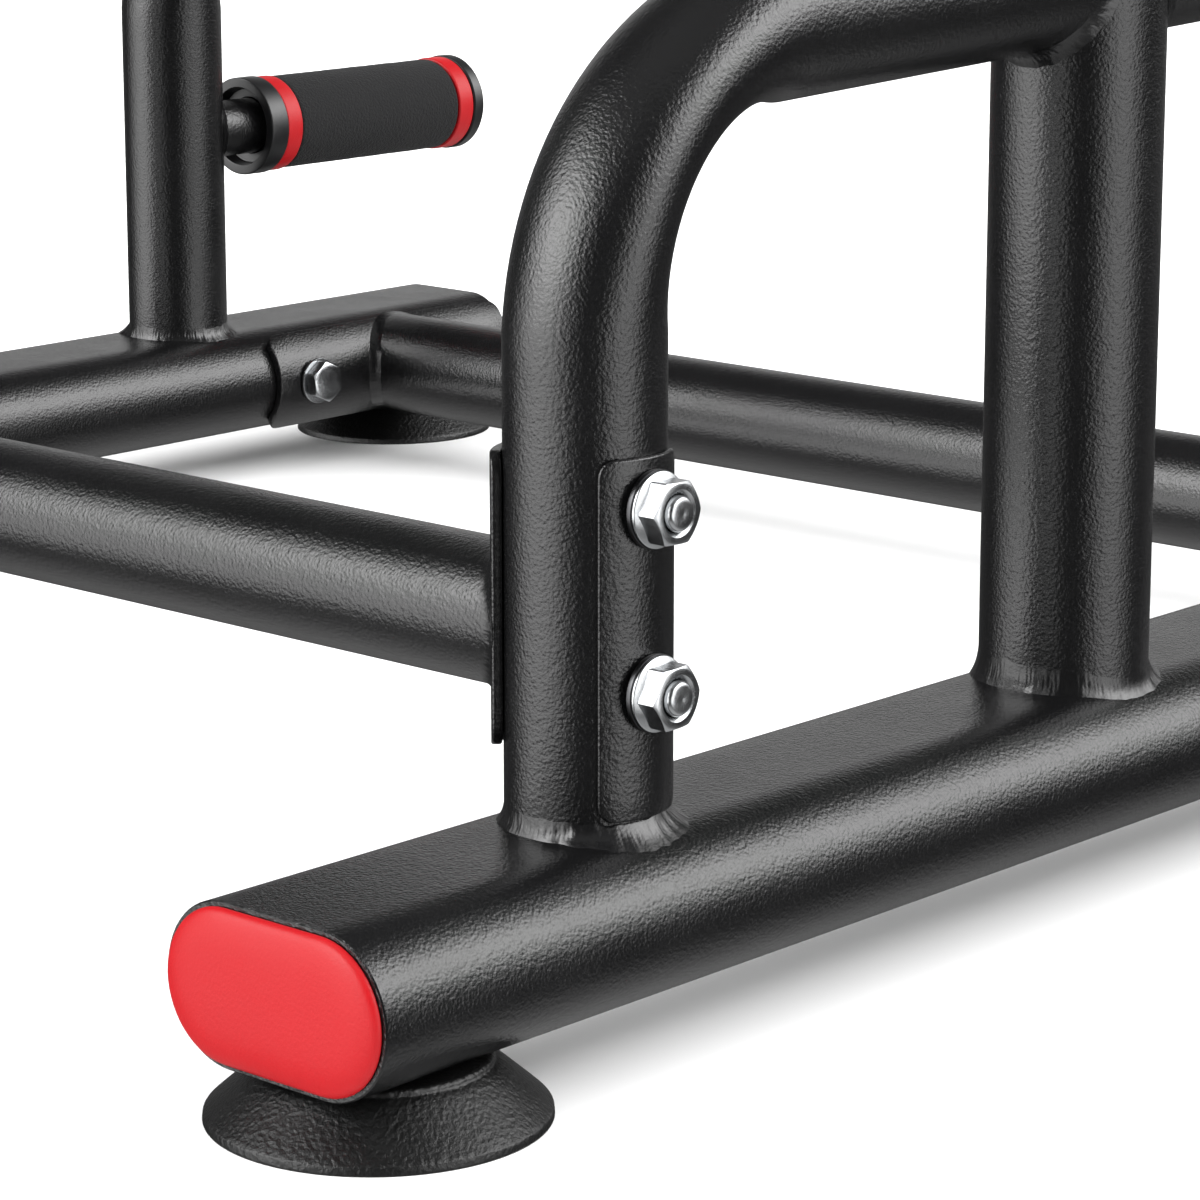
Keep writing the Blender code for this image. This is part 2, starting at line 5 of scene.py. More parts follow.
import bmesh
import bpy
import numpy as np
from mathutils import Matrix, Vector, noise


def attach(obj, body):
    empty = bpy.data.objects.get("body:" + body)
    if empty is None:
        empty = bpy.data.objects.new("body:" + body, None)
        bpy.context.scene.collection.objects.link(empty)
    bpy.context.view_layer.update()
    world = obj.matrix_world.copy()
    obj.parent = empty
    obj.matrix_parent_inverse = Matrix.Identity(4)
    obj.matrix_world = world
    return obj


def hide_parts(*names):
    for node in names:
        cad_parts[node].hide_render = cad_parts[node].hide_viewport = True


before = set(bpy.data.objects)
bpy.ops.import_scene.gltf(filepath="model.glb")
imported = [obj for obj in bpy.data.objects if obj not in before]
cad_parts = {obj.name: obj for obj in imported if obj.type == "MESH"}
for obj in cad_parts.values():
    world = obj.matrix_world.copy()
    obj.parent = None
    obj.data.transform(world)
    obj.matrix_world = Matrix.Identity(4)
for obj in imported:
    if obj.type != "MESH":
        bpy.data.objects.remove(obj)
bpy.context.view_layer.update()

# ---------------------------------------------------------------- dimensions, in metres
GAP = 0.0003
FOOT_X, FOOT_Z = 0.334, 0.040
FOOT_W, FOOT_H, FOOT_WALL, FOOT_HALF = 0.080, 0.045, 0.002, 0.375
CUP_Y = 0.3385
LEG_R, LEG_WALL = 0.022, 0.002
REAR_LEG_Y, FRONT_LEG_Y = -0.2588, 0.202
HOOP_Z, HOOP_R, HOOP_RISE = 0.2719, 0.0757, math.radians(2.2)
POST_R, POST_WALL, POST_Y, POST_TOP = 0.026, 0.002, -0.041, 1.580
FLANGE_T, STRIP_T = 0.003, 0.0015
STUD_Z = (0.1021, 0.1518)
REAR_BAR_R, BAR_WALL, REAR_BAR_Z = 0.020, 0.0018, 0.1155
FRONT_BAR_R, FRONT_BAR_Y, FRONT_FLANGE_T = 0.0225, 0.305, 0.0035
HANDLE_Z, HANDLE_TUBE_R, HANDLE_Y = 0.152, 0.0125, 0.242
COLLAR_L, RING_L, FOAM_L, KNOB_L = 0.0103, 0.0095, 0.102, 0.0102
MID_BAR_Z, MID_BAR_R = 1.100, 0.020
DIP_X, DIP_R, DIP_END_Y = 0.250, 0.016, 0.330
MAST_R, MAST_WALL, MAST_BOTTOM = 0.022, 0.0015, 1.1055
PIN_Z, PIN_R, PIN_TRAVEL = 1.500, 0.0047, 0.012
BAR_R, BAR_Z = 0.016, 1.960
BAR_STRAIGHT, BAR_BEND_R, BAR_BEND, BAR_TAIL = 0.430, 0.080, math.radians(22), 0.130
FLOOR_ROUND_X = FOOT_X - (FOOT_W - FOOT_H) / 2

SIDES = ((1, "right"), (-1, "left"))


# ---------------------------------------------------------------- finishes
class Finish:
    """A node material and the few node patterns that the finishes share."""

    def __init__(self, name, colour, roughness, metallic=0.0, specular=0.5):
        self.material = bpy.data.materials.new(name)
        self.material.use_nodes = True
        self.tree = self.material.node_tree
        self.shader = self.tree.nodes["Principled BSDF"]
        self.shader.inputs["Base Color"].default_value = (*colour, 1)
        self.shader.inputs["Roughness"].default_value = roughness
        self.shader.inputs["Metallic"].default_value = metallic
        self.shader.inputs["Specular IOR Level"].default_value = specular
        self.place = self.add("ShaderNodeTexCoord").outputs["Object"]
        self.material.diffuse_color = (*colour, 1)

    def add(self, kind, **settings):
        node = self.tree.nodes.new(kind)
        for key, value in settings.items():
            setattr(node, key, value)
        return node

    def link(self, a, b):
        self.tree.links.new(a, b)

    def noise(self, scale, detail=2.0, rough=0.5, stretch=None):
        node = self.add("ShaderNodeTexNoise")
        node.inputs["Scale"].default_value = scale
        node.inputs["Detail"].default_value = detail
        node.inputs["Roughness"].default_value = rough
        place = self.place
        if stretch:
            mapping = self.add("ShaderNodeMapping")
            mapping.inputs["Scale"].default_value = stretch
            self.link(place, mapping.inputs["Vector"])
            place = mapping.outputs["Vector"]
        self.link(place, node.inputs["Vector"])
        return node.outputs["Fac"]

    def cells(self, scale, smooth=0.6):
        node = self.add("ShaderNodeTexVoronoi", feature="SMOOTH_F1")
        node.inputs["Scale"].default_value = scale
        node.inputs["Smoothness"].default_value = smooth
        self.link(self.place, node.inputs["Vector"])
        return node.outputs["Distance"]

    def ranged(self, value, low, high, start=0.3, stop=0.7):
        node = self.add("ShaderNodeMapRange")
        for key, number in (("From Min", start), ("From Max", stop), ("To Min", low), ("To Max", high)):
            node.inputs[key].default_value = number
        self.link(value, node.inputs["Value"])
        return node.outputs["Result"]

    def plus(self, first, second, share):
        node = self.add("ShaderNodeMath", operation="MULTIPLY_ADD")
        self.link(second, node.inputs[0])
        node.inputs[1].default_value = share
        self.link(first, node.inputs[2])
        return node.outputs[0]

    def bump(self, height, distance, strength=1.0):
        node = self.add("ShaderNodeBump")
        node.inputs["Strength"].default_value = strength
        node.inputs["Distance"].default_value = distance
        self.link(height, node.inputs["Height"])
        self.link(node.outputs["Normal"], self.shader.inputs["Normal"])

    def rough(self, value):
        self.link(value, self.shader.inputs["Roughness"])

    def tint(self, value, dark, light):
        node = self.add("ShaderNodeMix", data_type="RGBA")
        node.inputs["A"].default_value = (*dark, 1)
        node.inputs["B"].default_value = (*light, 1)
        self.link(value, node.inputs["Factor"])
        self.link(node.outputs["Result"], self.shader.inputs["Base Color"])


def powder_coat(name, peel, low, high):
    made = Finish(name, (0.0040, 0.0040, 0.0042), 0.22)
    skin = made.plus(made.noise(1150, 3.0, 0.55), made.cells(900), 0.55)
    skin = made.plus(skin, made.noise(420, 1.0), 0.5)
    made.bump(skin, peel)
    cloud = made.noise(38, 3.0)
    made.rough(made.ranged(cloud, low, high))
    made.tint(cloud, (0.0030, 0.0030, 0.0032), (0.0048, 0.0048, 0.0050))
    return made.material


COAT = powder_coat("powder_coat", 0.00017, 0.18, 0.24)
BEAD_COAT = powder_coat("weld_bead_coat", 0.00006, 0.20, 0.26)

red = Finish("red_plastic", (0.335, 0.0042, 0.0070), 0.40, specular=0.22)
red.bump(red.plus(red.noise(1300, 2.0), red.cells(900), 0.4), 0.00006)
red_cloud = red.noise(30, 2.0)
red.rough(red.ranged(red_cloud, 0.34, 0.42))
red.tint(red_cloud, (0.320, 0.0038, 0.0065), (0.350, 0.0048, 0.0078))
RED = red.material

plastic = Finish("black_plastic", (0.006, 0.006, 0.0065), 0.32)
plastic.bump(plastic.plus(plastic.noise(1700, 2.0), plastic.cells(1100), 0.3), 0.00004)
plastic_cloud = plastic.noise(45, 2.0)
plastic.rough(plastic.ranged(plastic_cloud, 0.30, 0.38))
plastic.tint(plastic_cloud, (0.005, 0.005, 0.0055), (0.008, 0.008, 0.0085))
PLASTIC = plastic.material

rubber = Finish("cup_rubber", (0.003, 0.003, 0.003), 0.38, specular=0.38)
rubber.bump(rubber.plus(rubber.noise(760, 4.0, 0.62), rubber.cells(620), 0.5), 0.00036)
rubber_cloud = rubber.noise(55, 4.0, 0.6)
rubber.rough(rubber.ranged(rubber_cloud, 0.29, 0.39))
rubber.tint(rubber_cloud, (0.002, 0.002, 0.002), (0.005, 0.005, 0.005))
RUBBER = rubber.material

foam = Finish("grip_foam", (0.009, 0.009, 0.0095), 0.80, specular=0.16)
foam.bump(foam.plus(foam.cells(900, 0.2), foam.noise(1500, 4.0, 0.7), 0.8), 0.00035)
foam_cloud = foam.noise(70, 4.0, 0.6)
foam.rough(foam.ranged(foam_cloud, 0.78, 0.92))
foam.tint(foam_cloud, (0.008, 0.008, 0.0085), (0.014, 0.014, 0.0145))
foam.shader.inputs["Sheen Weight"].default_value = 0.03
foam.shader.inputs["Sheen Roughness"].default_value = 0.5
FOAM = foam.material

zinc = Finish("zinc_plating", (0.44, 0.45, 0.46), 0.20, metallic=1.0)
zinc.bump(zinc.plus(zinc.noise(500, 3.0, 0.6), zinc.noise(2500, 2.0, 0.5, (1, 6, 1)), 0.35), 0.00005)
zinc_cloud = zinc.noise(170, 3.0)
zinc.rough(zinc.ranged(zinc_cloud, 0.15, 0.27))
zinc.tint(zinc_cloud, (0.36, 0.37, 0.38), (0.50, 0.51, 0.52))
ZINC = zinc.material

dark = Finish("dark_steel", (0.055, 0.055, 0.058), 0.30, metallic=1.0)
dark.bump(dark.plus(dark.noise(700, 3.0, 0.6), dark.noise(2600, 2.0), 0.3), 0.00004)
dark_cloud = dark.noise(160, 3.0)
dark.rough(dark.ranged(dark_cloud, 0.24, 0.38))
dark.tint(dark_cloud, (0.040, 0.040, 0.042), (0.075, 0.075, 0.078))
DARK = dark.material


# ---------------------------------------------------------------- mesh helpers
def joined_rings(rings, wrap):
    """(points, faces) of a loft through rings of equal count. wrap joins the last ring to the first; otherwise both
    ends are closed with a face."""
    n = len(rings[0])
    points = np.concatenate([np.asarray(r, float) for r in rings])
    faces = []
    for i in range(len(rings) - (0 if wrap else 1)):
        j = (i + 1) % len(rings)
        faces += [(i * n + k, i * n + (k + 1) % n, j * n + (k + 1) % n, j * n + k) for k in range(n)]
    if not wrap:
        last = (len(rings) - 1) * n
        faces += [tuple(range(n)), tuple(range(last, last + n))]
    return points, faces


def piece(name, shells, body, nodes, material, sharp=34):
    """One visible object from one or more closed shells, riding on a body and standing for the CAD nodes."""
    points, faces = [], []
    start = 0
    for shell_points, shell_faces in shells:
        points.append(np.asarray(shell_points, float))
        faces += [tuple(start + k for k in face) for face in shell_faces]
        start += len(shell_points)
    mesh = bpy.data.meshes.new(name)
    mesh.from_pydata(np.concatenate(points).tolist(), [], faces)
    work = bmesh.new()
    work.from_mesh(mesh)
    bmesh.ops.recalc_face_normals(work, faces=work.faces)
    work.to_mesh(mesh)
    work.free()
    mesh.shade_smooth()
    mesh.set_sharp_from_angle(angle=math.radians(sharp))
    made = bpy.data.objects.new(name, mesh)
    bpy.context.scene.collection.objects.link(made)
    mesh.materials.append(material)
    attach(made, body)
    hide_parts(*nodes)
    return made


def bored(made, holes, sharp=34):
    """Cuts round holes, each (centre, axis, radius, length), out of a piece."""
    mesh = bpy.data.meshes.new("bores")
    work = bmesh.new()
    for centre, axis, r, length in holes:
        turn = {"X": Matrix.Rotation(math.pi / 2, 4, "Y"), "Z": Matrix()}[axis]
        bmesh.ops.create_cone(
            work, cap_ends=True, segments=32, radius1=r, radius2=r, depth=length, matrix=Matrix.Translation(centre) @ turn)
    work.to_mesh(mesh)
    work.free()
    cutter = bpy.data.objects.new("bores", mesh)
    bpy.context.scene.collection.objects.link(cutter)
    step = made.modifiers.new("bores", "BOOLEAN")
    step.operation, step.object, step.solver = "DIFFERENCE", cutter, "EXACT"
    bpy.context.view_layer.update()
    cut = bpy.data.meshes.new_from_object(made.evaluated_get(bpy.context.evaluated_depsgraph_get()))
    made.modifiers.clear()
    old, made.data = made.data, cut
    cut.name = made.name
    bpy.data.meshes.remove(old)
    bpy.data.objects.remove(cutter, do_unlink=True)
    cut.shade_smooth()
    cut.set_sharp_from_angle(angle=math.radians(sharp))
    return made


def softened(profile, radius, steps=3, closed=True):
    """The profile with its corners rounded. radius is one number or one for each point."""
    out = []
    count = len(profile)
    for i, point in enumerate(profile):
        b = np.array(point, float)
        r = radius[i] if hasattr(radius, "__len__") else radius
        if r <= 0 or (not closed and i in (0, count - 1)):
            out.append(tuple(b))
            continue
        u, v = np.array(profile[i - 1], float) - b, np.array(profile[(i + 1) % count], float) - b
        lu, lv = np.linalg.norm(u), np.linalg.norm(v)
        u, v = u / lu, v / lv
        corner = math.acos(max(-1, min(1, float(u @ v))))
        if corner > math.radians(166):
            out.append(tuple(b))
            continue
        back = min(r / math.tan(corner / 2), 0.45 * lu, 0.45 * lv)
        for k in range(steps + 1):
            t = k / steps
            out.append(tuple((1 - t) ** 2 * (b + u * back) + 2 * t * (1 - t) * b + t * t * (b + v * back)))
    return out


def axes_for(axis):
    along = np.array(axis, float)
    along /= np.linalg.norm(along)
    helper = np.array((0, 0, 1.0)) if abs(along[2]) < 0.9 else np.array((1.0, 0, 0))
    first = np.cross(helper, along)
    first /= np.linalg.norm(first)
    return along, first, np.cross(along, first)


def turned(profile, origin, axis, n=64, wobble=None):
    """A profile of (radius, height) turned about an axis. Radius 0 at both ends closes it; otherwise it is a ring."""
    along, first, second = axes_for(axis)
    origin = np.array(origin, float)
    solid = profile[0][0] < 1e-9
    inner = profile[1:-1] if solid else profile
    angles = np.arange(n) * 2 * math.pi / n
    rings = []
    for r, h in inner:
        radii = np.full(n, r)
        if wobble:
            radii = radii + np.array([wobble(a, h) for a in angles])
        rings.append(
            origin + along * h + np.outer(radii * np.cos(angles), first) + np.outer(radii * np.sin(angles), second))
    points, faces = joined_rings(rings, wrap=not solid)
    if not solid:
        return points, faces
    faces = faces[:-2]
    top, bottom = len(points), len(points) + 1
    points = np.vstack([points, origin + along * profile[0][1], origin + along * profile[-1][1]])
    last = (len(rings) - 1) * n
    faces += [(top, k, (k + 1) % n) for k in range(n)]
    faces += [(bottom, last + (k + 1) % n, last + k) for k in range(n)]
    return points, faces


def between(r, wall, start, stop, place, n=64, middles=6, lip=0.0004):
    """Hollow straight tube. start and stop give the end's place along it for a point (p, q) of the section, and
    place(a, p, q) turns that into the frame's coordinates. The ends' outer edges are eased by lip."""
    angles = np.arange(n) * 2 * math.pi / n
    rings = []

    def ring(radius, share, shift=0.0):
        made = []
        for t in angles:
            p, q = radius * math.cos(t), radius * math.sin(t)
            low, high = start(p, q), stop(p, q)
            way = math.copysign(1, high - low)
            made.append(place(low + (high - low) * share + way * shift, p, q))
        return np.array(made)

    rings.append(ring(r - lip, 0))
    rings.append(ring(r, 0, lip))
    rings += [ring(r, k / (middles + 1)) for k in range(1, middles + 1)]
    rings.append(ring(r, 1, -lip))
    rings.append(ring(r - lip, 1))
    rings.append(ring(r - wall, 1))
    rings.append(ring(r - wall, 0))
    return joined_rings(rings, wrap=True)


def swept(centres, tangents, side, across, inplane, wall, n=64, start=None, stop=None):
    """Hollow bent tube. across and inplane give the half axes at each station; start and stop reshape the end rings."""
    side = np.array(side, float)
    angles = np.arange(n) * 2 * math.pi / n

    def ring(k, less):
        up = np.cross(side, tangents[k])
        made = centres[k] + np.outer((across[k] - less) * np.cos(angles), side) + np.outer(
            (inplane[k] - less) * np.sin(angles), up)
        if k == 0 and start:
            made = np.array([start(p) for p in made])
        if k == len(centres) - 1 and stop:
            made = np.array([stop(p) for p in made])
        return made

    outer = [ring(k, 0.0) for k in range(len(centres))]
    inner = [ring(k, wall) for k in reversed(range(len(centres)))]
    return joined_rings(outer + inner, wrap=True)


def oval_outline(w, h, n=28, flats=10):
    """Flat-oval outline in (p, q), w along p, as points at even angles round the ends and even steps on the flats."""
    r, run = h / 2, (w - h) / 2
    points = []
    for way in (1, -1):
        points += [
            (way * (run + r * math.cos(t)), way * r * math.sin(t)) for t in (math.pi * (k / n - 0.5) for k in range(n + 1))]
        points += [(way * (run - 2 * run * k / flats), way * r) for k in range(1, flats)]
    return points


def foot_height(dx):
    over = max(0.0, abs(dx) - (FOOT_W - FOOT_H) / 2)
    return FOOT_Z + math.sqrt(max((FOOT_H / 2) ** 2 - over * over, 0.0))


def table(entries, angle):
    """Value at an angle in degrees, from (angle, value) entries round the circle, eased between them."""
    angle = (angle + 180) % 360 - 180
    entries = sorted(entries)
    entries = [(entries[-1][0] - 360, entries[-1][1])] + entries + [(entries[0][0] + 360, entries[0][1])]
    for (a, x), (b, y) in zip(entries, entries[1:]):
        if a <= angle <= b:
            t = (angle - a) / (b - a)
            t = t * t * (3 - 2 * t)
            return x + (y - x) * t
    return entries[0][1]


def weld(points, first, second, reach_first, reach_second, ripple, seed, pitch=0.0013, fit=None, rows=9):
    """A fillet bead along a closed seam. At each seam point it reaches along two unit directions, one on each piece;
    its face is rippled as the pool froze. fit(point) drops the second toe onto its surface."""
    count = len(points)
    steps = np.linalg.norm(np.roll(points, -1, axis=0) - points, axis=1)
    along = np.concatenate([[0], np.cumsum(steps)[:-1]])
    total = steps.sum()
    waves = max(8, round(total / pitch))
    rings = []
    for k in range(count):
        s = along[k] / total
        spot = Vector((math.cos(2 * math.pi * s) * 3 + seed, math.sin(2 * math.pi * s) * 3, seed * 0.7))
        wide = 1 + 0.16 * noise.noise(spot * 2.2)
        a, b = reach_first[k] * wide, reach_second[k] * (1 + 0.14 * noise.noise(spot * 2.6 + Vector((9, 2, 5))))
        out = first[k] + second[k]
        out = out / np.linalg.norm(out)
        rise = np.linalg.norm(np.cross(first[k] * a, second[k] * b)) / np.linalg.norm(first[k] * a - second[k] * b)
        swell, hollow = min(ripple[k], 0.3 * rise), min(0.12 * min(a, 2 * b, 0.006), 0.4 * rise)
        sink = -0.0009
        ring = [points[k] + out * sink]
        for row in range(rows + 1):
            t = row / rows
            bow = math.sin(math.pi * t)
            phase = waves * s + 0.42 * (2 * t - 1) ** 2 + 0.5 * noise.noise(spot * 5)
            wave = abs(math.sin(math.pi * phase)) ** 0.8 - 0.6 + 1.6 * noise.noise(spot * 6 + Vector((0, 0, t * 2)))
            lump = bow * (swell * wave - hollow)
            ring.append(points[k] + first[k] * a * (1 - t) + second[k] * b * t + out * lump)
        toe = ring[-1]
        ring[-1] = fit(toe) if fit else toe
        rings.append(np.array(ring))
    return joined_rings(rings, wrap=True)


def plate(surface, half, low, high, corner, thickness, ease=0.0004, columns=40, rows=14):
    """A curved plate with rounded corners. surface(s, z, depth) places a point s along the curve, z up it and depth
    below its outer face."""

    def grid(inset, depth):
        h, z0, z1, c = half - inset, low + inset, high - inset, max(corner - inset, 0.0002)
        turns = [math.pi / 2 * k / 6 for k in range(7)]
        spots = [(-h + c * (1 - math.cos(t)), c * (1 - math.sin(t))) for t in turns]
        spots += [(-h + c + 2 * (h - c) * k / columns, 0.0) for k in range(1, columns)]
        spots += [(h - c * (1 - math.cos(t)), c * (1 - math.sin(t))) for t in reversed(turns)]
        return [
            [surface(s, z0 + less + (z1 - z0 - 2 * less) * r / rows, depth) for r in range(rows + 1)] for s, less in spots]

    def border(g):
        last = len(g) - 1
        return (
            [g[0][r] for r in range(rows + 1)] + [g[c][rows] for c in range(1, last)]
            + [g[last][r] for r in range(rows, -1, -1)] + [g[c][0] for c in range(last - 1, 0, -1)])

    layers = [
        grid(ease, 0.0), grid(0.62 * ease, 0.08 * ease), grid(0.293 * ease, 0.293 * ease), grid(0.08 * ease, 0.62 * ease),
        grid(0.0, ease), grid(0.0, thickness - ease), grid(0.293 * ease, thickness - 0.293 * ease), grid(ease, thickness)]
    points, faces = [], []
    wide = len(layers[0])
    index = {}

    def add(point):
        key = tuple(round(float(v), 8) for v in point)
        if key not in index:
            index[key] = len(points)
            points.append(point)
        return index[key]

    for g in (layers[0], layers[-1]):
        for c in range(wide - 1):
            for r in range(rows):
                faces.append(tuple(add(q) for q in (g[c][r], g[c + 1][r], g[c + 1][r + 1], g[c][r + 1])))
    for g, h in zip(layers, layers[1:]):
        b, d = border(g), border(h)
        for k in range(len(b)):
            m = (k + 1) % len(b)
            faces.append(tuple(add(q) for q in (b[k], b[m], d[m], d[k])))
    faces = [f for f in faces if len(set(f)) == len(f)]
    return np.array(points), faces


def round_plate(centre_x, centre_other, r_outer, facing, axis):
    """surface() for a plate bent round a tube: about an upright axis at (centre_x, y), or about one along Y at z."""

    def upright(s, z, depth):
        t = s / r_outer
        r = r_outer - depth
        return (centre_x + facing * r * math.cos(t), centre_other + r * math.sin(t), z)

    def lying(s, y, depth):
        t = s / r_outer
        r = r_outer - depth
        return (centre_x + facing * r * math.cos(t), y, centre_other + r * math.sin(t))

    return upright if axis == "Z" else lying


# ---------------------------------------------------------------- feet, end caps and suction cups
for s, side in SIDES:
    x = s * FOOT_X
    outer, inner = oval_outline(FOOT_W, FOOT_H), oval_outline(FOOT_W - 2 * FOOT_WALL, FOOT_H - 2 * FOOT_WALL)
    eased = oval_outline(FOOT_W - 0.0008, FOOT_H - 0.0008)

    def lay(outline, y):
        return np.array([(x + p, y, FOOT_Z + q) for p, q in outline])

    stations = np.linspace(-FOOT_HALF + 0.0004, FOOT_HALF - 0.0004, 26)
    rings = [lay(eased, -FOOT_HALF)] + [lay(outer, y) for y in stations] + [lay(eased, FOOT_HALF)]
    rings += [lay(inner, FOOT_HALF), lay(inner, -FOOT_HALF)]
    foot = piece(f"foot_tube_{side}_skin", [joined_rings(rings, True)], "base_frame", [f"foot_tube_{side}"], COAT)
    bored(foot, [((x, e * CUP_Y, 0.020), "Z", 0.0045, 0.020) for e in (1, -1)])

    for end, e in (("rear", -1), ("front", 1)):
        # the head's edge rolls over and its face is slightly crowned; a hollow skirt goes into the tube
        def loop(inset, height):
            outline = oval_outline(FOOT_W - 0.003 - 2 * inset, FOOT_H - 0.003 - 2 * inset)
            return np.array([(x + p, e * (FOOT_HALF + GAP + height), FOOT_Z + q) for p, q in outline])

        rings = []
        for inset, height in (
            (0.0, 0.0), (0.0, 0.0003), (0.0001, 0.0007), (0.0004, 0.0012), (0.0009, 0.0017), (0.0016, 0.0021),
            (0.0026, 0.0025), (0.0038, 0.00285), (0.0052, 0.00315), (0.0069, 0.0034), (0.0089, 0.00354), (0.0113, 0.00363),
            (0.0140, 0.00367), (0.0170, 0.0037), (0.0190, 0.0037),
        ):
            rings.append(loop(inset, height))
        under = [
            loop(0.0188, 0.0012), loop(0.0027, 0.0012), loop(0.0027, -0.0106), loop(0.0025, -0.0109),
            loop(0.0013, -0.0109), loop(0.0009, -0.0104), loop(0.0008, 0.0)]
        rings = list(reversed(rings)) + list(reversed(under))
        piece(
            f"end_cap_{side}_{end}_skin", [joined_rings(rings, False)], "base_frame", [f"end_cap_{side}_{end}"],
            RED, sharp=50)

        profile = [
            (0, 0.0300), (0.0034, 0.0300), (0.0040, 0.0294), (0.0040, 0.0172), (0.0285, 0.0172), (0.0294, 0.01705),
            (0.0300, 0.0166), (0.0303, 0.0160), (0.0303, 0.0156), (0.0307, 0.0152), (0.0313, 0.0149), (0.0322, 0.0143),
            (0.0336, 0.0132), (0.0352, 0.0118), (0.0368, 0.0104), (0.0385, 0.0089), (0.0402, 0.0074), (0.0418, 0.0060),
            (0.0432, 0.00475), (0.0443, 0.00375), (0.0450, 0.0031), (0.04535, 0.00275), (0.04555, 0.00248),
            (0.04565, 0.0022), (0.04572, 0.0016), (0.0458, 0.0009), (0.0458, 0.0003), (0.0456, 0.0), (0.0417, 0.0), (0.0411, 0.0003),
            (0.0370, 0.0026), (0.0300, 0.0041), (0.0200, 0.0050), (0.0100, 0.0054),
            (0, 0.0055)]
        piece(
            f"suction_cup_{side}_{end}_skin",
            [turned(profile, (x, e * CUP_Y, 0), (0, 0, 1), 120)],
            "base_frame", [f"suction_cup_{side}_{end}"], RUBBER, sharp=60)

# ---------------------------------------------------------------- hoops and uprights
RUN_FROM_Y = REAR_LEG_Y + HOOP_R - HOOP_R * math.sin(HOOP_RISE)


def run_height(y):
    return HOOP_Z + (y - RUN_FROM_Y) * math.tan(HOOP_RISE)


def hoop_stations(leg_y, end_y):
    toward = 1 if end_y > leg_y else -1
    turn = math.pi / 2 - toward * HOOP_RISE
    centre_y = leg_y + toward * HOOP_R
    bend_y = centre_y - toward * HOOP_R * math.cos(turn)
    centre_z = run_height(bend_y) - HOOP_R * math.sin(turn)
    spots = [(leg_y, FOOT_Z + FOOT_H / 2, 0.0, 0.0)]
    spots += [(leg_y, 0.066 + (centre_z - 0.074) * k / 14, 0.0, 0.0) for k in range(15)]
    for k in range(29):
        t = turn * k / 28
        squeeze = math.sin(math.pi * k / 28) ** 0.9
        spots.append((centre_y - toward * HOOP_R * math.cos(t), centre_z + HOOP_R * math.sin(t), t, squeeze))
    start_y = bend_y + toward * 0.006
    spots += [(y, run_height(y), turn, 0.0) for y in np.linspace(start_y, end_y - toward * 0.012, 8)]
    spots.append((end_y, run_height(end_y), turn, 0.0))
    return toward, spots


LEG_TOE = ((-180, 3.2), (-140, 2.2), (-115, 1.6), (-92, 1.2), (-66, 1.9), (-48, 5.0), (-30, 6.4), (0, 6.2), (45, 6.0), (120, 5.0))
LEG_RISE = ((-180, 5.0), (-120, 4.8), (-80, 5.6), (-55, 5.2), (-30, 4.6), (30, 4.8), (120, 5.0))
POST_TOE = ((-180, 3.6), (-130, 2.4), (-95, 1.6), (-55, 2.0), (-30, 2.2), (0, 2.4), (45, 4.6), (120, 4.5))
POST_RISE = ((-180, 7.0), (-110, 8.4), (-70, 8.0), (-40, 6.6), (-15, 5.2), (30, 5.2), (120, 6.0))


def foot_weld(s, x, y, r, toe, rise, calm, seed):
    """The bead round the base of a tube that stands on a foot. Angles are those of the right side, mirrored on the left."""
    count = 540
    points, first, second, a, b, ripple = [], [], [], [], [], []
    for k in range(count):
        t = 2 * math.pi * k / count
        px, py = s * r * math.cos(t), r * math.sin(t)
        points.append((x + px, y + py, foot_height(px)))
        first.append((0, 0, 1.0))
        w = table(toe, math.degrees(t)) / 1000
        far = np.array((s * (r + w) * math.cos(t), (r + w) * math.sin(t)))
        way = np.array((far[0] - px, far[1] - py, foot_height(far[0]) - foot_height(px)))
        second.append(way / np.linalg.norm(way))
        a.append(table(rise, math.degrees(t)) / 1000)
        b.append(w)
        quiet = table(calm, math.degrees(t))
        ripple.append(0.00010 * quiet)
    args = [np.array(v, float) for v in (points, first, second, a, b, ripple)]

    def drop(p):
        return np.array((p[0], p[1], foot_height(p[0] - x) - 0.0001))

    return weld(*args, seed, fit=drop)


def run_weld(s, x, toward, seed):
    """The bead round a hoop's top run where it meets the upright."""
    count = 420
    points, first, second = [], [], []
    slope = math.tan(HOOP_RISE)
    for k in range(count):
        t = 2 * math.pi * k / count
        px, pz = LEG_R * math.cos(t), LEG_R * math.sin(t)
        y = POST_Y - toward * math.sqrt(POST_R**2 - px * px)
        points.append((x + px, y, run_height(y) + pz))
        first.append((0, -toward, -toward * slope))
        out = np.array((math.cos(t), 0, math.sin(t)))
        normal = np.array((px, y - POST_Y, 0)) / POST_R
        lie = out - normal * (out @ normal)
        second.append(lie / np.linalg.norm(lie))
    first = [np.array(v) / np.linalg.norm(v) for v in first]
    a = np.full(count, 0.0042)
    b = np.array([0.0044 - 0.0014 * abs(math.cos(2 * math.pi * k / count)) ** 2 for k in range(count)])
    ripple = np.full(count, 0.00010)
    return weld(*(np.array(v, float) for v in (points, first, second, a, b, ripple)), seed)


